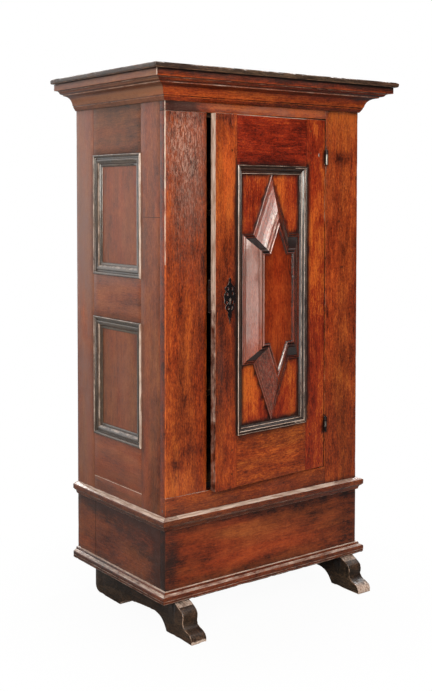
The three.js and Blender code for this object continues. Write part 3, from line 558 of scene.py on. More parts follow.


# paint

# Places that are lighter, darker, duller or scratched; some of those marked below are painted shade, others
# painted sheen. Each is a share across and up its piece, the reach both ways as shares, and then how much
# light it adds, and haze and scratching where it adds them.
PATCH_SHARES = {
    "front_stile_left": [
        # the first two paint a sheen on the upper stile with haze and scratches
        (0.47, 0.92, 0.42, 0.11, -0.04, 0.45, 1.4),
        (0.52, 0.76, 0.42, 0.10, -0.06, 0.35, 0.5),
        (0.46, 0.60, 0.5, 0.08, -0.08, 0.0, 0.1),
        (0.69, 0.85, 0.07, 0.02, -0.45), (0.08, 0.63, 0.08, 0.045, -0.3),
        (0.36, 0.03, 0.6, 0.06, 0.18, 0.1),
        (0.62, 0.115, 0.22, 0.016, -0.36), (0.25, 0.082, 0.2, 0.012, -0.4),
        (0.49, 0.25, 0.08, 0.016, -0.3), (0.85, 0.5, 0.15, 0.36, -0.14),
        (0.46, 0.2, 0.35, 0.09, 0.06), (0.63, 0.99, 0.5, 0.014, -0.25),
    ],
    "front_stile_right": [
        (0.5, 0.94, 0.6, 0.09, 0.30), (0.45, 0.823, 0.26, 0.014, -0.5),
        (0.7, 0.71, 0.18, 0.13, 0.10), (0.5, 0.22, 0.6, 0.2, 0.10),
        (0.33, 0.65, 0.12, 0.1, -0.15), (0.52, 0.16, 0.43, 0.07, -0.12),
        (0.52, 0.35, 0.31, 0.1, -0.05), (0.0, 0.5, 0.1, 0.8, -0.2),
    ],
    "frieze_rail": [
        (0.09, 0.18, 0.09, 0.35, -1.2, 0.1, 0.1),
        (0.61, 0.14, 0.42, 0.3, 0.42, 0.9, 0.1),
        (0.61, 0.01, 0.7, 0.05, -0.35),
    ],
    "door_lock_stile": [
        (0.5, 0.84, 0.5, 0.11, 0.18), (0.5, 0.62, 0.6, 0.09, -0.14),
        (0.6, 0.22, 0.4, 0.07, 0.10),
        (0.43, 0.99, 0.6, 0.023, -0.25, 0.1),
        (0.45, 0.57, 0.5, 0.06, -0.1),
        (0.22, 0.335, 0.18, 0.125, -0.34, 0.2),
        (0.55, 0.3, 0.5, 0.1, -0.17, 0.05),
        (0.55, 0.49, 0.5, 0.06, -0.2), (0.5, 0.1, 0.5, 0.07, 0.04),
    ],
    "door_top_rail": [
        (0.49, 0.1, 0.41, 0.14, -0.25), (0.93, 0.56, 0.15, 0.35, -0.12),
        (0.5, 0.5, 0.8, 0.6, -0.15),
    ],
    "door_hinge_stile": [
        (0.26, 0.62, 0.5, 0.16, 0.16), (0.36, 0.91, 0.3, 0.04, -0.25),
        (0.26, 0.26, 0.5, 0.16, -0.1), (0.26, 0.04, 0.5, 0.04, -0.15),
    ],
    "door_bottom_rail": [
        (0.78, 0.16, 0.23, 0.16, -0.15), (0.14, 0.86, 0.15, 0.11, -0.15),
    ],
    "door_panel": [
        (0.18, 0.18, 0.17, 0.13, 0.36), (0.82, 0.16, 0.11, 0.1, 0.1),
        (0.82, 0.9, 0.2, 0.14, -0.04), (0.18, 0.85, 0.14, 0.1, -0.05),
        (0.68, 0.08, 0.08, 0.05, -0.15),
    ],
    "door_raised_figure": [
        (0.49, 0.65, 0.15, 0.23, 0.04), (0.49, 0.3, 0.18, 0.12, 0.06),
    ],
    "plinth_left": [
        (0.46, 0.66, 0.9, 0.9, -0.28, 0.12),
        (0.02, 0.5, 0.06, 0.9, -0.35, 0.1),
        # the first here is a painted shadow, with dirt, under the waist moulding
        (0.5, 0.9, 0.9, 0.16, -0.25), (0.60, 0.2, 0.2, 0.3, -0.2),
        (0.42, 0.5, 0.14, 0.3, 0.12),
    ],
    "plinth_right": [(0.46, 0.66, 0.72, 0.75, -0.3, 0.1)],
    "plinth_front": [
        (0.02, 0.5, 0.04, 0.6, -0.34, 0.1),
        (0.14, 0.5, 0.1, 0.4, -0.12), (0.44, 0.55, 0.2, 0.26, 0.02),
        # the second here is a painted shadow, with dirt, under the waist moulding
        (0.95, 0.62, 0.06, 0.53, -0.18), (0.5, 0.89, 0.57, 0.05, -0.35),
        (0.5, 0.17, 0.57, 0.045, -0.25),
    ],
    "bottom_rail": [(0.61, 0.3, 0.7, 0.12, -0.15), (0.3, 0.6, 0.6, 0.6, 0.08, 0.2)],
    "cornice_front": [
        (0.5, 0.95, 1.0, 0.2, -0.42, 0.35),
        (0.5, 0.66, 1.0, 0.06, -0.1), (0.5, 0.30, 1.0, 0.14, 0.12),
        (0.5, 0.0, 1.0, 0.06, -0.3), (0.5, 0.17, 1.0, 0.03, -0.6),
    ],
    "cornice_left": [
        (0.5, 0.9, 1.0, 0.3, 0.16, 0.15),
        (0.5, 0.4, 1.0, 0.3, 0.34), (0.5, 0.17, 1.0, 0.03, -0.5),
    ],
    "top_board": [(0.5, 0.5, 3.0, 3.0, 0.08, 0.1)],
    "back_board_1": [(0.5, 0.5, 3.0, 3.0, -0.12)],
    "back_board_3": [(0.5, 0.5, 3.0, 3.0, 0.12)],
    # a painted sheen: a pale haze over the rear stile
    "side_left_rear_stile": [(0.6, 0.48, 0.5, 0.45, 0.22, 1.4, 0.2)],
    "side_left_top_rail": [(0.5, 0.6, 0.9, 0.7, -0.10, -0.1)],
    "side_left_front_stile": [
        (0.1, 0.5, 0.2, 0.8, -0.12), (0.6, 0.75, 0.4, 0.2, -0.05),
    ],
    # the lower panel and rail are painted lighter, with a painted sheen
    "side_left_panel_lower": [(0.5, 0.5, 0.5, 0.4, 0.06, 0.35)],
    "side_left_bottom_rail": [(0.5, 0.5, 0.9, 0.9, 0.06, 0.3)],
}

# Faces that are painted alike all over: the start of their piece's name, which way they look and how
# squarely, and how much light, haze and scratching they have
FACE_PAINT = (
    ("front_stile_left", LEFT, 0.7, (-0.2, 0.35, 0.0)),
    ("plinth_front", LEFT, 0.7, (-0.5, 0.1, 0.0)),
    ("door_", BACK, 0.7, (-0.12, 0.6, 0.0)),
    # the front edges of the shelves and the floor, seen through the gap by the door, are painted black as shade
    ("shelf", FRONT, 0.5, (-1.0, 0.0, 0.0)),
    ("floor_board", FRONT, 0.5, (-1.0, 0.0, 0.0)),
)
# Painted shade on the downward faces of the cornice
CORNICE_UNDERSIDE_SHADE = -0.35


def painted(node, p, normal, low, high):
    """Light and shade, haze and scratches at a point, from the patches of its piece, some of them painted
    shade and painted sheen.
    """
    for start, way, least, amounts in FACE_PAINT:
        if node.startswith(start) and normal.dot(way) > least:
            return amounts
    total = [0.0, 0.0, 0.0]
    wide = 1 if node.startswith(("side_", "plinth_left", "plinth_right")) else 0
    across = (p[wide] - low[wide]) / (high[wide] - low[wide])
    up = (p.z - low.z) / (high.z - low.z)
    for middle, level, reach_across, reach_up, *amounts in PATCH_SHARES.get(node, ()):
        share = math.exp(-((across - middle) / reach_across) ** 2 - ((up - level) / reach_up) ** 2)
        for i, amount in enumerate(amounts):
            total[i] += share * amount
    # the cornice's downward faces are painted darker as shade
    if node.startswith("cornice") and normal.z < -0.8:
        total[0] += CORNICE_UNDERSIDE_SHADE
    return total


def figure_slope_shade_and_sheen(p, normal, low, high):
    """Light, shade, haze and scratches on a sloping face of the raised figure: the shoulders and the faces
    on the right are painted shade, and the slopes on the left a painted sheen.
    """
    middle = (low + high) / 2
    shoulder = abs(normal.z) > 0.85 * math.hypot(normal.x, normal.z)
    pointed = abs(normal.z) > 0.2
    if shoulder:
        return (-0.62, 0.0, 0.0)
    if normal.x > 0 or p.x > middle.x:
        return (-0.30, 0.05, 0.0)
    if pointed and p.z < middle.z:
        return (-0.22, 0.15, 0.3)
    if pointed:
        return (-0.06, 0.3, 0.1)
    return (-0.02, 1.0, 0.3)


# bare and rubbed places, and painted highlights and light

# Pale lines on the framed mouldings, part wear and part painted highlight: the strip, the line's first
# and last share of the way across it from its outer edge, and how pale the line is
DOOR_LINES = [
    ("low", 0.02, 0.14, 0.58), ("low", 0.46, 0.54, 0.36),
    ("top", 0.0, 0.06, 0.42), ("top", 0.93, 1.0, 0.66),
    ("high", 0.0, 0.07, 0.44), ("high", 0.30, 0.42, 0.44), ("high", 0.62, 0.78, 0.46),
    ("bottom", 0.0, 0.10, 0.58), ("bottom", 0.34, 0.44, 0.60), ("bottom", 0.66, 0.76, 0.56),
]
SIDE_LINES = [
    ("high", 0.06, 0.17, 0.46), ("high", 0.60, 0.74, 0.46),
    ("low", 0.0, 0.16, 0.62),
    ("bottom", 0.62, 0.78, 0.37), ("bottom", 0.0, 0.05, 0.40),
    ("top", 0.0, 0.06, 0.37),
]

# On the door, the strip by the hinges is painted paler by this much above this share of its height, as a
# highlight
WHITER = 0.14
WHITER_ABOVE = 0.62

# The lower front corner of a side moulding is worn all over: how far in, as a share of the strip's
# width, and how pale it is
CORNER_REACH = 0.55
CORNER_PALE = 0.6


def flat_axis(node):
    """The level axis in the plane of a framed moulding."""
    return 0 if node.startswith("door") else 1


def ring_gaps(node, p):
    """How far a point is from each outer edge of a framed moulding."""
    (low, high), flat = SOLID_BOX[node], flat_axis(node)
    return {
        "low": p[flat] - low[flat],
        "high": high[flat] - p[flat],
        "bottom": p.z - low.z,
        "top": high.z - p.z,
    }


RING_WIDTH = {node: max(min(ring_gaps(node, p).values()) for p in SOLIDS[node][0]) for node in RINGS}


def worn_and_highlit_line(node, p, up):
    """How pale a framed moulding is at a point: wear, and painted highlights along its lines."""
    gaps = ring_gaps(node, p)
    width = RING_WIDTH[node]
    strip = min(gaps, key=gaps.get)
    share = gaps[strip] / width
    on_door = node.startswith("door")
    if not on_door and max(gaps["low"], gaps["bottom"]) < CORNER_REACH * width:
        return CORNER_PALE
    lines = DOOR_LINES if on_door else SIDE_LINES
    found = [pale for name, first, last, pale in lines if name == strip and first <= share <= last]
    pale = max(found, default=0.0)
    whiter = on_door and strip == "high" and pale and up > WHITER_ABOVE
    return pale + (WHITER if whiter else 0.0)


def upper_left_slope():
    """The widest sloping face on the upper left of the raised figure: which way it falls in the plane of
    the door, and where along that way it begins and ends."""
    points, faces = SOLIDS["door_raised_figure"]
    chosen = []
    for face in faces:
        corners = [points[i] for i in face]
        normal = (corners[1] - corners[0]).cross(corners[2] - corners[0])
        unit = normal.normalized()
        if unit.x < -0.45 and 0.15 < unit.z < 0.35 and unit.y < -0.7:
            chosen.append((normal.length, unit, corners))
    unit = max(chosen, key=lambda item: item[0])[1]
    way = Vector((unit.x, 0, unit.z)).normalized()
    along = [way.dot(p) for area, other, corners in chosen if other.dot(unit) > 0.999 for p in corners]
    return way, min(along), max(along)


FIGURE_SLOPE = upper_left_slope()

# Painted highlight streaks along that slope, from its inner edge outward: where each ends, as a share,
# and how pale and how glossy it is
SLOPE_STREAKS = (
    (0.16, 0.34, 0.85),
    (0.34, 0.30, 0.50),
    (0.50, 0.05, 0.16),
    (0.62, 0.0, 0.10),
    (0.80, 0.15, 0.32),
    (1.0, 0.25, 0.52),
)


def slope_highlight_and_gloss(p, normal, low, high):
    """How pale and how glossy a face of the raised figure is; the pale streaks are painted highlights."""
    way, first, last = FIGURE_SLOPE
    if p.z < (low.z + high.z) / 2 or not (normal.x < -0.3 and 0.15 < normal.z < 0.35):
        return 0.0, 1.0
    share = (way.dot(p) - first) / (last - first)
    return next((looks for end, *looks in SLOPE_STREAKS if share <= end), SLOPE_STREAKS[-1][1:])


def lock_edge_highlight(up):
    """Painted highlight on the free edge of the door, in pale wood colour: how pale it is, whiter higher up."""
    return (0.44 if up > 0.19 else 0.37) + 0.4 * min(1.0, max(0.0, 5.0 * (up - 0.45)))


# Painted highlights on the hinges: the middle and half the height of the place, as shares, and how pale
# it is
HINGE_HIGHLIGHT = {"hinge_upper": (0.42, 0.26, 0.5), "hinge_lower": (0.5, 0.3, 0.2)}


def hinge_highlight(node, normal, up):
    middle, reach, pale = by_start(HINGE_HIGHLIGHT, node, None)
    return pale if abs(up - middle) < reach and normal.x < 0.3 and normal.y < -0.2 else 0.0


# The pale left corner of the front, worn and with a painted highlight that is brighter higher up: how far
# in it reaches, in metres
CORNER_WIDTH = 0.012

# Bare wood on the feet: how high it reaches, in metres, and how far the top of the toe is bare
BARE_HEIGHT = {"runner_left": 0.020, "runner_right": 0.055}
TOE_REACH = 0.011


def foot_paleness(node, p, normal, free):
    if normal.z < -0.5:
        return 0.6
    toe = p.y < SOLID_BOX["plinth_front"][0].y
    if toe and p.z > SOLID_BOX["base_moulding_front"][0].z - TOE_REACH and normal.z > 0.3:
        return 0.46
    low_share = max(0.0, 1.0 - p.z / BARE_HEIGHT[node])
    return max(0.9 * low_share, 0.36 if free else 0.0)


# Heights of the narrow upright steps of the cornice, as shares of it, which are painted lighter as
# highlight lines
CORNICE_STEPS = ((0.57, 0.625), (0.715, 0.752))


def cornice_highlight_line(normal, up):
    upright = abs(normal.z) < 0.4
    return 0.41 if upright and any(first < up < last for first, last in CORNICE_STEPS) else 0.0


# Where the pale band on the front of the waist, dust and painted light, begins and ends, left to right,
# in metres
WAIST_BAND = (-0.395, 0.310)


def ledge_dust_and_light(node, p, normal, up):
    """Dust and bare wood on the upward faces of the waist and base mouldings, with painted light on them,
    paler on the left side.
    """
    if normal.z < 0.8:
        return 0.0
    front = node.endswith("front")
    if node.startswith("waist"):
        inside = WAIST_BAND[0] < p.x < WAIST_BAND[1]
        return (0.72 if inside else 0.45) if front else 0.85
    thin = up > 0.9
    if front:
        return 0.66 if thin else 0.44
    return 0.85 if thin else 0.46


def paleness(node, p, normal, free, low, high):
    """How pale a face is, from its piece, its place and the way it looks: bare wood, dust, and painted
    highlights and light.
    """
    up = (p.z - low.z) / (high.z - low.z)
    if node in RINGS:
        return worn_and_highlit_line(node, p, up)
    if node == "door_raised_figure":
        return slope_highlight_and_gloss(p, normal, low, high)[0]
    if node == "door_lock_stile" and normal.x < -0.75:
        return lock_edge_highlight(up)
    if node.startswith("hinge_"):
        return hinge_highlight(node, normal, up)
    # the top edges of the door's rails and stiles are painted pale as a highlight line
    if node.startswith("door_") and node.endswith(("rail", "stile")):
        return 0.62 if free and normal.z > 0.2 and p.z > high.z - 0.004 else 0.0
    # the left front corner is painted pale as a highlight, brightest near the top
    if node in ("front_stile_left", "frieze_rail"):
        if p.x < low.x + CORNER_WIDTH and normal.x < -0.05 and normal.y < -0.05:
            return 0.56 if up > 0.8 or node == "frieze_rail" else 0.46 if up > 0.6 else 0.2
    # upward front edges of the left stile and the bottom rail are painted pale as a highlight line
    if node == "front_stile_left" and normal.z > 0.2 and normal.y < -0.1:
        return 0.5
    if node == "bottom_rail" and normal.z > 0.2 and normal.y < -0.1:
        return 0.8 if p.x < SOLID_BOX["front_stile_left"][1].x else 0.0
    if node.startswith("runner"):
        return foot_paleness(node, p, normal, free)
    if node.startswith("cornice"):
        return cornice_highlight_line(normal, up)
    if node.startswith(("waist", "base")):
        return ledge_dust_and_light(node, p, normal, up) or (0.42 if free else 0.0)
    return 0.0


# A gloss that stands for no polish at all and a fully rough face
DUSTY = -1.0

# Pieces that are less glossy, or less dirty and less shaded in their corners, than the others
DULLER = {"side_left_top_rail": 0.4}
LESS_DIRT_AND_SHADE = {"frieze_rail": 0.45}
FIGURE_FIELD_GLOSS = 0.3


def gloss_and_paint(node, mesh, loops, paint):
    """Gloss and paint at each corner of each face. The raised figure's slopes get their own, with painted
    shade, sheen and highlight streaks.
    """
    low, high = SOLID_BOX[node]
    gloss = np.full(len(loops), DULLER.get(node, 1.0))
    paint = paint[loops]
    for polygon in mesh.polygons:
        ids = slice(polygon.loop_start, polygon.loop_start + polygon.loop_total)
        if node == "top_board" and polygon.normal.z > 0.9:
            gloss[ids] = DUSTY
        if node == "door_raised_figure" and polygon.normal.y > -0.97:
            paint[ids] = figure_slope_shade_and_sheen(polygon.center, polygon.normal, low, high)
            gloss[ids] = slope_highlight_and_gloss(polygon.center, polygon.normal, low, high)[1]
        elif node == "door_raised_figure":
            gloss[ids] = FIGURE_FIELD_GLOSS
    return gloss, paint


# dressed copies of the solids


def cut_solid(node, spacing):
    """A CAD node as a mesh that is cut up finely enough to wear."""
    points, faces = SOLIDS[node]
    bm = bmesh.new()
    for p in points:
        bm.verts.new(p)
    bm.verts.ensure_lookup_table()
    for face in faces:
        bm.faces.new([bm.verts[i] for i in face])
    bmesh.ops.remove_doubles(bm, verts=bm.verts, dist=WELD)
    bmesh.ops.dissolve_limit(bm, angle_limit=math.radians(0.6), verts=bm.verts, edges=bm.edges)
    cut_grid(bm, spacing)
    if node == "door_raised_figure":
        way, first, last = FIGURE_SLOPE
        for share, pale, gloss in SLOPE_STREAKS[:-1]:
            cut(bm, way * (first + share * (last - first)), way)
    bmesh.ops.recalc_face_normals(bm, faces=bm.faces)
    return bm


def mark_edges(bm, others):
    """Marks the edges to be rounded: fully where they are free, slightly where a piece touches them."""
    weight = bm.edges.layers.float.new("bevel_weight_edge")
    for edge in bm.edges:
        if len(edge.link_faces) == 2 and edge.calc_face_angle_signed(0) > math.radians(28):
            middle = (edge.verts[0].co + edge.verts[1].co) / 2
            gap = others.find_nearest(middle, 0.003)[3]
            edge[weight] = 0.2 if gap is not None and gap < 0.0009 else 1.0


def round_edges(node, bm, width):
    """An object of the mesh with its marked edges rounded. The new faces there have material number 1."""
    mesh = bpy.data.meshes.new(node)
    bm.to_mesh(mesh)
    bm.free()
    piece = added_object(node + "_worn", mesh)
    for number in range(2):
        mesh.materials.append(material_of(node))
    bevel = piece.modifiers.new("arris", "BEVEL")
    bevel.limit_method = "WEIGHT"
    bevel.width = width
    bevel.segments = 2
    bevel.material = 1
    bevel.use_clamp_overlap = True
    depsgraph = bpy.context.evaluated_depsgraph_get()
    rounded = bpy.data.meshes.new_from_object(piece.evaluated_get(depsgraph))
    piece.modifiers.clear()
    piece.data = rounded
    bpy.data.meshes.remove(mesh)
    rounded.name = node + "_worn"
    return piece


def wear_faces(node, mesh, others):
    """How worn and how pale each face is, and which points are worn. Free rounded edges are worn."""
    low, high = SOLID_BOX[node]
    wear = np.zeros(len(mesh.polygons))
    pale = np.zeros(len(mesh.polygons))
    worn_points = np.zeros(len(mesh.vertices))
    for polygon in mesh.polygons:
        if polygon.material_index == 1:
            gap = others.find_nearest(polygon.center, 0.004)[3]
            if gap is None or gap > 0.0012:
                wear[polygon.index] = 0.15 if node.startswith("plinth") else 1.0
                worn_points[list(polygon.vertices)] = 1.0
        free = wear[polygon.index] > 0
        pale[polygon.index] = paleness(node, polygon.center, polygon.normal, free, low, high)
        polygon.material_index = 0
        polygon.use_smooth = True
    mesh.materials.pop(index=1)
    return wear, pale, worn_points


def wear_points(node, mesh, worn_points):
    """Moves each point in as it is worn. Returns the corner darkening, soiling and painted shade together,
    and the paint at each.
    """
    low, high = SOLID_BOX[node]
    strength = by_start(CHIPPED, node, PLAIN_CHIPS)
    normals = [v.normal.copy() for v in mesh.vertices]
    dirt = np.zeros(len(mesh.vertices))
    paint = np.zeros((len(mesh.vertices), 3))
    for v in mesh.vertices:
        p, normal = v.co.copy(), normals[v.index]
        # corner darkening, soiling and painted shade together, from how covered the point is
        dirt[v.index] = covered(p, normal) * LESS_DIRT_AND_SHADE.get(node, 1.0)
        paint[v.index] = painted(node, p, normal, low, high)
        moved = p + worn_shape(p, normal, worn_points[v.index], strength)
        v.co = [min(max(moved[i], low[i]), high[i]) for i in range(3)]
    return dirt, paint


def grain_places(node, mesh, loops):
    """Where each corner of each face lies in the timber: along its grain, across and deep."""
    along = axis_of(node)
    across = [i for i in range(3) if i != along]
    co = np.array([v.co for v in mesh.vertices])[loops]
    offset = grain_offset(node)
    grain = co[:, [along, *across]] + offset
    if node in RINGS:
        low, high = (np.array(corner) for corner in SOLID_BOX[node])
        centre, half = (low + high) / 2, (high - low) / 2
        flat = flat_axis(node)
        for polygon in mesh.polygons:
            inward = half - abs(np.array(polygon.center) - centre)
            if inward[2] < inward[flat]:
                ids = slice(polygon.loop_start, polygon.loop_start + polygon.loop_total)
                top_or_bottom = np.sign(polygon.center[2] - centre[2])
                grain[ids] = co[ids][:, [flat, 2, 1 - flat]] + offset + 3.3 * top_or_bottom
    return grain


def store(mesh, name, kind, domain, values):
    """Keeps a number or a vector on the mesh for each corner of its faces, or each point."""
    if name in mesh.attributes:
        mesh.attributes.remove(mesh.attributes[name])
    made = mesh.attributes.new(name, kind, domain)
    field = "vector" if kind == "FLOAT_VECTOR" else "value"
    made.data.foreach_set(field, np.asarray(values, np.float32).ravel())


def store_looks(mesh, grain, paint, gloss, wear, pale, dirt):
    """Keeps what the materials read: corner darkening, which is soiling and painted shade, for each point,
    and the rest for each corner of each face.
    """
    store(mesh, "grain", "FLOAT_VECTOR", "CORNER", grain)
    store(mesh, "paint", "FLOAT_VECTOR", "CORNER", paint)
    for name, values in (("gloss", gloss), ("wear", wear), ("pale", pale)):
        store(mesh, name, "FLOAT", "CORNER", values)
    store(mesh, "dirt", "FLOAT", "POINT", dirt)


def dressed(node):
    """Replaces a CAD node by a copy with rounded, worn edges and the values that its material reads."""
    arris, spacing = by_start(EDGES, node, PLAIN_EDGE)
    others = tree_of([other for other in SOLIDS if other != node])
    bm = cut_solid(node, spacing)
    mark_edges(bm, others)
    piece = round_edges(node, bm, arris)
    mesh = piece.data
    wear, pale, worn_points = wear_faces(node, mesh, others)
    dirt, paint = wear_points(node, mesh, worn_points)
    loops = np.array([loop.vertex_index for loop in mesh.loops])
    counts = [polygon.loop_total for polygon in mesh.polygons]
    gloss, paint = gloss_and_paint(node, mesh, loops, paint)
    grain = grain_places(node, mesh, loops)
    store_looks(mesh, grain, paint, gloss, np.repeat(wear, counts), np.repeat(pale, counts), dirt)
    crisp = node in RINGS or node == "door_raised_figure"
    mesh.set_sharp_from_angle(angle=math.radians(18 if crisp else 44))
    if BODY_OF[node] != "cabinet":
        mesh.transform(OPEN_DOOR)
    mesh.update()
    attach(piece, BODY_OF[node])
    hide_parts(node)


for node in NODES:
    dressed(node)


# small pieces that are in the scene only

# How worn they all are
SMALL_WEAR = 0.3


def small_piece(name, bm, node, slot, grain_axis=2, dirt=0.0, pale=0.0):
    """Adds a small piece that lies on a CAD node and moves with it. Its looks are the same all over."""
    mesh = bpy.data.meshes.new(name)
    bm.to_mesh(mesh)
    bm.free()
    corners = [mesh.vertices[loop.vertex_index].co for loop in mesh.loops]
    order = [grain_axis, *(i for i in range(3) if i != grain_axis)]
    grain = [[co[i] for i in order] for co in corners]
    each = np.ones(len(corners))
    paint = np.zeros((len(corners), 3))
    store_looks(mesh, grain, paint, each, SMALL_WEAR * each, pale * each, np.full(len(mesh.vertices), dirt))
    mesh.materials.append(MATERIALS[slot])
    for polygon in mesh.polygons:
        polygon.use_smooth = True
    mesh.set_sharp_from_angle(angle=math.radians(40))
    if BODY_OF[node] != "cabinet":
        mesh.transform(OPEN_DOOR)
    piece = added_object(name, mesh)
    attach(piece, BODY_OF[node])


def slip(name, low, high, node, slot, grain_axis, **looks):
    """A sliver of filler or bare wood along a joint or an edge, from its lowest corner to its highest."""
    bm = bmesh.new()
    bmesh.ops.create_cube(bm, size=1.0)
    for v in bm.verts:
        v.co = [low[i] + (high[i] - low[i]) * (v.co[i] + 0.5) for i in range(3)]
    bmesh.ops.bevel(bm, geom=bm.edges[:], offset=0.0001, segments=1, affect="EDGES")
    small_piece(name, bm, node, slot, grain_axis, **looks)


def nail(name, place, facing, radius, node, slot="iron", height=0.35, tall=1.0, **looks):
    """A low domed head, half sunk in the face that it is on."""
    bm = bmesh.new()
    bmesh.ops.create_uvsphere(bm, u_segments=14, v_segments=8, radius=radius)
    turn = facing.to_track_quat("Z", "Y").to_matrix().to_4x4()
    flat = Matrix.Diagonal((1.0, tall, height, 1.0))
    bmesh.ops.transform(bm, matrix=Matrix.Translation(place) @ turn @ flat, verts=bm.verts)
    small_piece(name, bm, node, slot, **looks)


# Places and sizes are in metres. Heights are above the floor.
PEG_RADIUS = 0.0045
PEG_FROM_JOINT = 0.022
PEG_SHARES = (0.28, 0.74)
DOOR_NAIL = dict(across=0.2408, up=1.6249, radius=0.0035)
SIDE_NAIL = dict(back=-0.2211, up=0.4218, radius=0.0030)

# Knots on the right stile: place across and up, size across, and how much taller than wide
KNOTS = (
    (0.3428, 1.3823, 0.0060, 0.8),
    (0.3584, 1.2109, 0.0085, 0.6),
    (0.4295, 1.5445, 0.0040, 2.0),
    (0.4295, 1.3153, 0.0040, 2.0),
)

# A line on a face stands out of it by the first and goes in by the second
PROUD = 0.0003
SUNK = 0.0010

# Lines on the left side, from front to back and from bottom to top
SCRATCH = ((-0.209, -0.108), (1.4040, 1.4055))
SILL_LINE_UP = (0.4500, 0.4519)
SEAM_BACK = (0.2187, 0.2203)

# The bare arris of the door by its upper hinge: how far in, how deep, and from bottom to top
ARRIS_IN = (0.0022, 0.0006)
ARRIS_DEEP = (-0.0002, 0.0010)
ARRIS_UP = (1.375, 1.545)

# The worn mitre of the cornice: from what share of its height up, how far out and how far in
MITRE_FROM = 0.76
MITRE_OUT = 0.0004
MITRE_IN = 0.0022


def peg_places():
    """Pairs of pegs where the door's rails are tenoned into its stiles, with the door shut."""
    for stile, side in (("door_lock_stile", 1), ("door_hinge_stile", 0)):
        low, high = SOLID_BOX[stile]
        x = high.x - PEG_FROM_JOINT if side else low.x + PEG_FROM_JOINT
        for rail in ("door_top_rail", "door_bottom_rail"):
            foot, head = SOLID_BOX[rail]
            for share in PEG_SHARES:
                yield stile, Vector((x, low.y, foot.z + share * (head.z - foot.z)))


def side_line(name, node, back, up, slot, grain_axis, **looks):
    """A line on the left face of a node."""
    x = SOLID_BOX[node][0].x
    slip(name, (x - PROUD, back[0], up[0]), (x + SUNK, back[1], up[1]), node, slot, grain_axis, **looks)


def add_pegs_nails_and_knots():
    for number, (stile, place) in enumerate(peg_places()):
        nail(f"door_peg_{number + 1}", place, FRONT, PEG_RADIUS, stile, "front_walnut", 0.12, dirt=0.35)
    stile = "door_hinge_stile"
    place = Vector((DOOR_NAIL["across"], SOLID_BOX[stile][0].y, DOOR_NAIL["up"]))
    nail("door_nail", place, FRONT, DOOR_NAIL["radius"], stile, tall=1.9, pale=0.25)
    stile = "front_stile_right"
    for number, (x, z, radius, tall) in enumerate(KNOTS):
        name, place = f"right_stile_knot_{number + 1}", Vector((x, SOLID_BOX[stile][0].y, z))
        nail(name, place, FRONT, radius, stile, "front_walnut", 0.05, tall, dirt=0.42)
    stile = "side_left_front_stile"
    place = Vector((SOLID_BOX[stile][0].x, SIDE_NAIL["back"], SIDE_NAIL["up"]))
    nail("side_nail", place, LEFT, SIDE_NAIL["radius"], stile, tall=1.8)


def add_lines():
    side_line("side_scratch", "side_left_front_stile", *SCRATCH, "foot_walnut", 1, dirt=0.7)
    rail = "side_left_bottom_rail"
    low, high = SOLID_BOX[rail]
    side_line("side_sill_line", rail, (low.y, high.y), SILL_LINE_UP, "side_walnut", 1, pale=0.62)
    plinth_up = (SOLID_BOX["base_moulding_left"][1].z, SOLID_BOX["waist_moulding_left"][0].z)
    side_line("plinth_seam", "plinth_left", SEAM_BACK, plinth_up, "foot_walnut", 2, dirt=0.8)
    low, high = SOLID_BOX["door_hinge_stile"]
    near, far = ((high.x - ARRIS_IN[i], low.y + ARRIS_DEEP[i], ARRIS_UP[i]) for i in range(2))
    slip("door_worn_arris", near, far, "door_hinge_stile", "front_walnut", 2, pale=0.36)
    low, high = SOLID_BOX["cornice_front"]
    near = (low.x - MITRE_OUT, low.y - MITRE_OUT, low.z + MITRE_FROM * (high.z - low.z))
    far = (low.x + MITRE_IN, low.y + MITRE_IN, high.z)
    slip("cornice_mitre", near, far, "cornice_front", "moulding_walnut", 2, pale=0.8)


add_pegs_nails_and_knots()
add_lines()


# floor, world, lamps and camera

FLOOR_COLOUR = (0.72, 0.71, 0.70, 1)
FLOOR_REACH = 12.0


def stage_floor():
    """A floor that is white to the camera, with the object's shadow faint on it. What it sends back to
    the object is darker, and lightest far behind on the left."""
    mesh = bpy.data.meshes.new("floor")
    r = FLOOR_REACH
    corners = [(-r, -r, 0), (r, -r, 0), (r, r, 0), (-r, r, 0)]
    mesh.from_pydata(corners, [], [(0, 1, 2, 3)])
    floor = added_object("floor", mesh)
    material = bpy.data.materials.new("floor")
    mesh.materials.append(material)
    t = Tree(material)
    place = t.node("TexCoord").outputs["Object"]
    to_camera = t.node("LightPath").outputs["Is Camera Ray"]
    behind_left = t.vector_math("DOT_PRODUCT", place, (-0.6, 1.0, 0.0), output="Value")
    dim = t.node("BsdfDiffuse", {"Color": t.remap(behind_left, 1.3, 4.5, 0.16, 0.62, smooth=True)})
    pale = t.node("BsdfDiffuse", {"Color": FLOOR_COLOUR})
    glow = t.node("Emission", {"Color": WHITE, "Strength": 1.0})
    distance = t.vector_math("LENGTH", place, output="Value")
    glowing = t.times(to_camera, t.remap(distance, 0.4, 1.1, 0.96, 1.0, smooth=True))
    t.surface(t.mix_shaders(glowing, t.mix_shaders(to_camera, dim, pale), glow))


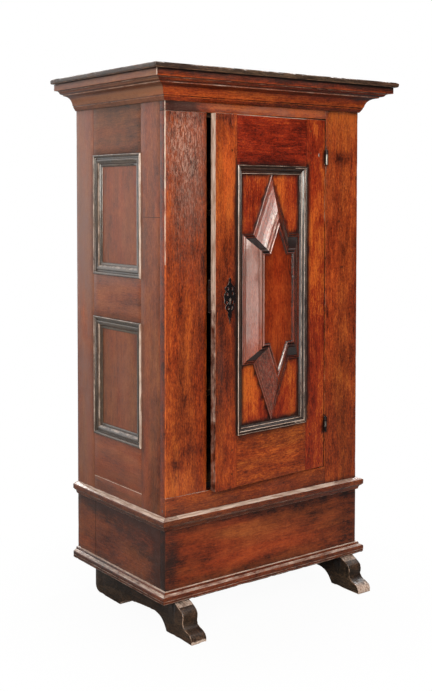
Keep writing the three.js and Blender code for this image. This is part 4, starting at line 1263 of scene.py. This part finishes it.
def make_world():
    """White to the camera, soft on the object, and in its gloss bright only high up and behind it."""
    world = bpy.data.worlds.new("studio")
    bpy.context.scene.world = world
    t = Tree(world)
    rays = t.node("LightPath").outputs
    way = t.split(t.node("TexCoord").outputs["Generated"])
    behind_and_up = t.math("ADD", way["Y"], way["Z"])
    around = t.node("Background", {"Color": (1.0, 0.985, 0.97, 1), "Strength": 0.30})
    mirrored = t.node("Background", {
        "Color": WHITE,
        "Strength": t.remap(behind_and_up, 0.25, 0.95, 0.02, 1.2, smooth=True),
    })
    seen = t.node("Background", {"Color": WHITE, "Strength": 1.0})
    lit = t.mix_shaders(rays["Is Glossy Ray"], around, mirrored)
    t.surface(t.mix_shaders(rays["Is Camera Ray"], lit, seen), "OutputWorld")


def add_lamp(name, place, target, width, height, power, colour=(1, 1, 1)):
    """A rectangular lamp at a place, turned to a target. Sizes are in metres and power in watts."""
    lamp = bpy.data.lights.new(name, "AREA")
    lamp.shape = "RECTANGLE"
    lamp.size = width
    lamp.size_y = height
    lamp.energy = power
    lamp.color = colour
    holder = added_object(name, lamp)
    holder.location = place
    holder.rotation_mode = "QUATERNION"
    holder.rotation_quaternion = (Vector(target) - Vector(place)).to_track_quat("-Z", "Y")
    holder.visible_camera = False


# The camera that the photograph's edges give, in pixels of its 432 by 691 frame, degrees and metres
FOCAL_PX = 1069.78
CENTRE_Y_PX = 241.149
PHOTO_HEIGHT_PX = 691
YAW, PITCH, ROLL = (math.radians(angle) for angle in (-36.7759, 2.4680, 0.0502))
CAMERA_PLACE = (-2.41349, -3.16112, 1.47984)
SENSOR_MM = 36


def make_camera():
    data = bpy.data.cameras.new("camera")
    data.sensor_width = SENSOR_MM
    data.lens = SENSOR_MM * FOCAL_PX / PHOTO_HEIGHT_PX
    data.shift_y = (CENTRE_Y_PX - PHOTO_HEIGHT_PX / 2) / PHOTO_HEIGHT_PX
    data.clip_end = 60
    camera = added_object("camera", data)
    back = Vector((math.sin(YAW) * math.cos(PITCH), -math.cos(YAW) * math.cos(PITCH), math.sin(PITCH)))
    right = (-back).cross(Vector((0, 0, 1))).normalized()
    up = right.cross(-back)
    turned_right = right * math.cos(ROLL) + up * math.sin(ROLL)
    turned_up = up * math.cos(ROLL) - right * math.sin(ROLL)
    turn = Matrix((turned_right, turned_up, back)).transposed().to_4x4()
    camera.matrix_world = Matrix.Translation(CAMERA_PLACE) @ turn
    bpy.context.scene.camera = camera


stage_floor()
make_world()
add_lamp("front", (-1.45, -3.8, 2.9), (-0.2, -0.25, 1.6), 0.9, 2.2, 72, (1.0, 0.97, 0.90))
add_lamp("low_front", (-2.0, -3.8, 0.62), (-0.2, -0.25, 0.9), 1.0, 1.1, 8, (1.0, 0.9, 0.84))
add_lamp("left_front", (-3.0, -2.7, 2.2), (-0.3, -0.2, 1.1), 1.5, 1.7, 92, (1.0, 0.97, 0.88))
add_lamp("above_front", (0.1, -1.7, 3.9), (0.0, -0.25, 0.5), 1.2, 0.6, 16)
add_lamp("overhead", (2.4, 1.2, 3.7), (0.2, 0.0, 0.8), 1.2, 2.0, 75)
add_lamp("back", (0.8, 3.9, 3.1), (0.0, 0.0, 1.0), 2.0, 1.2, 50)
make_camera()
bpy.context.scene.view_settings.view_transform = "Standard"
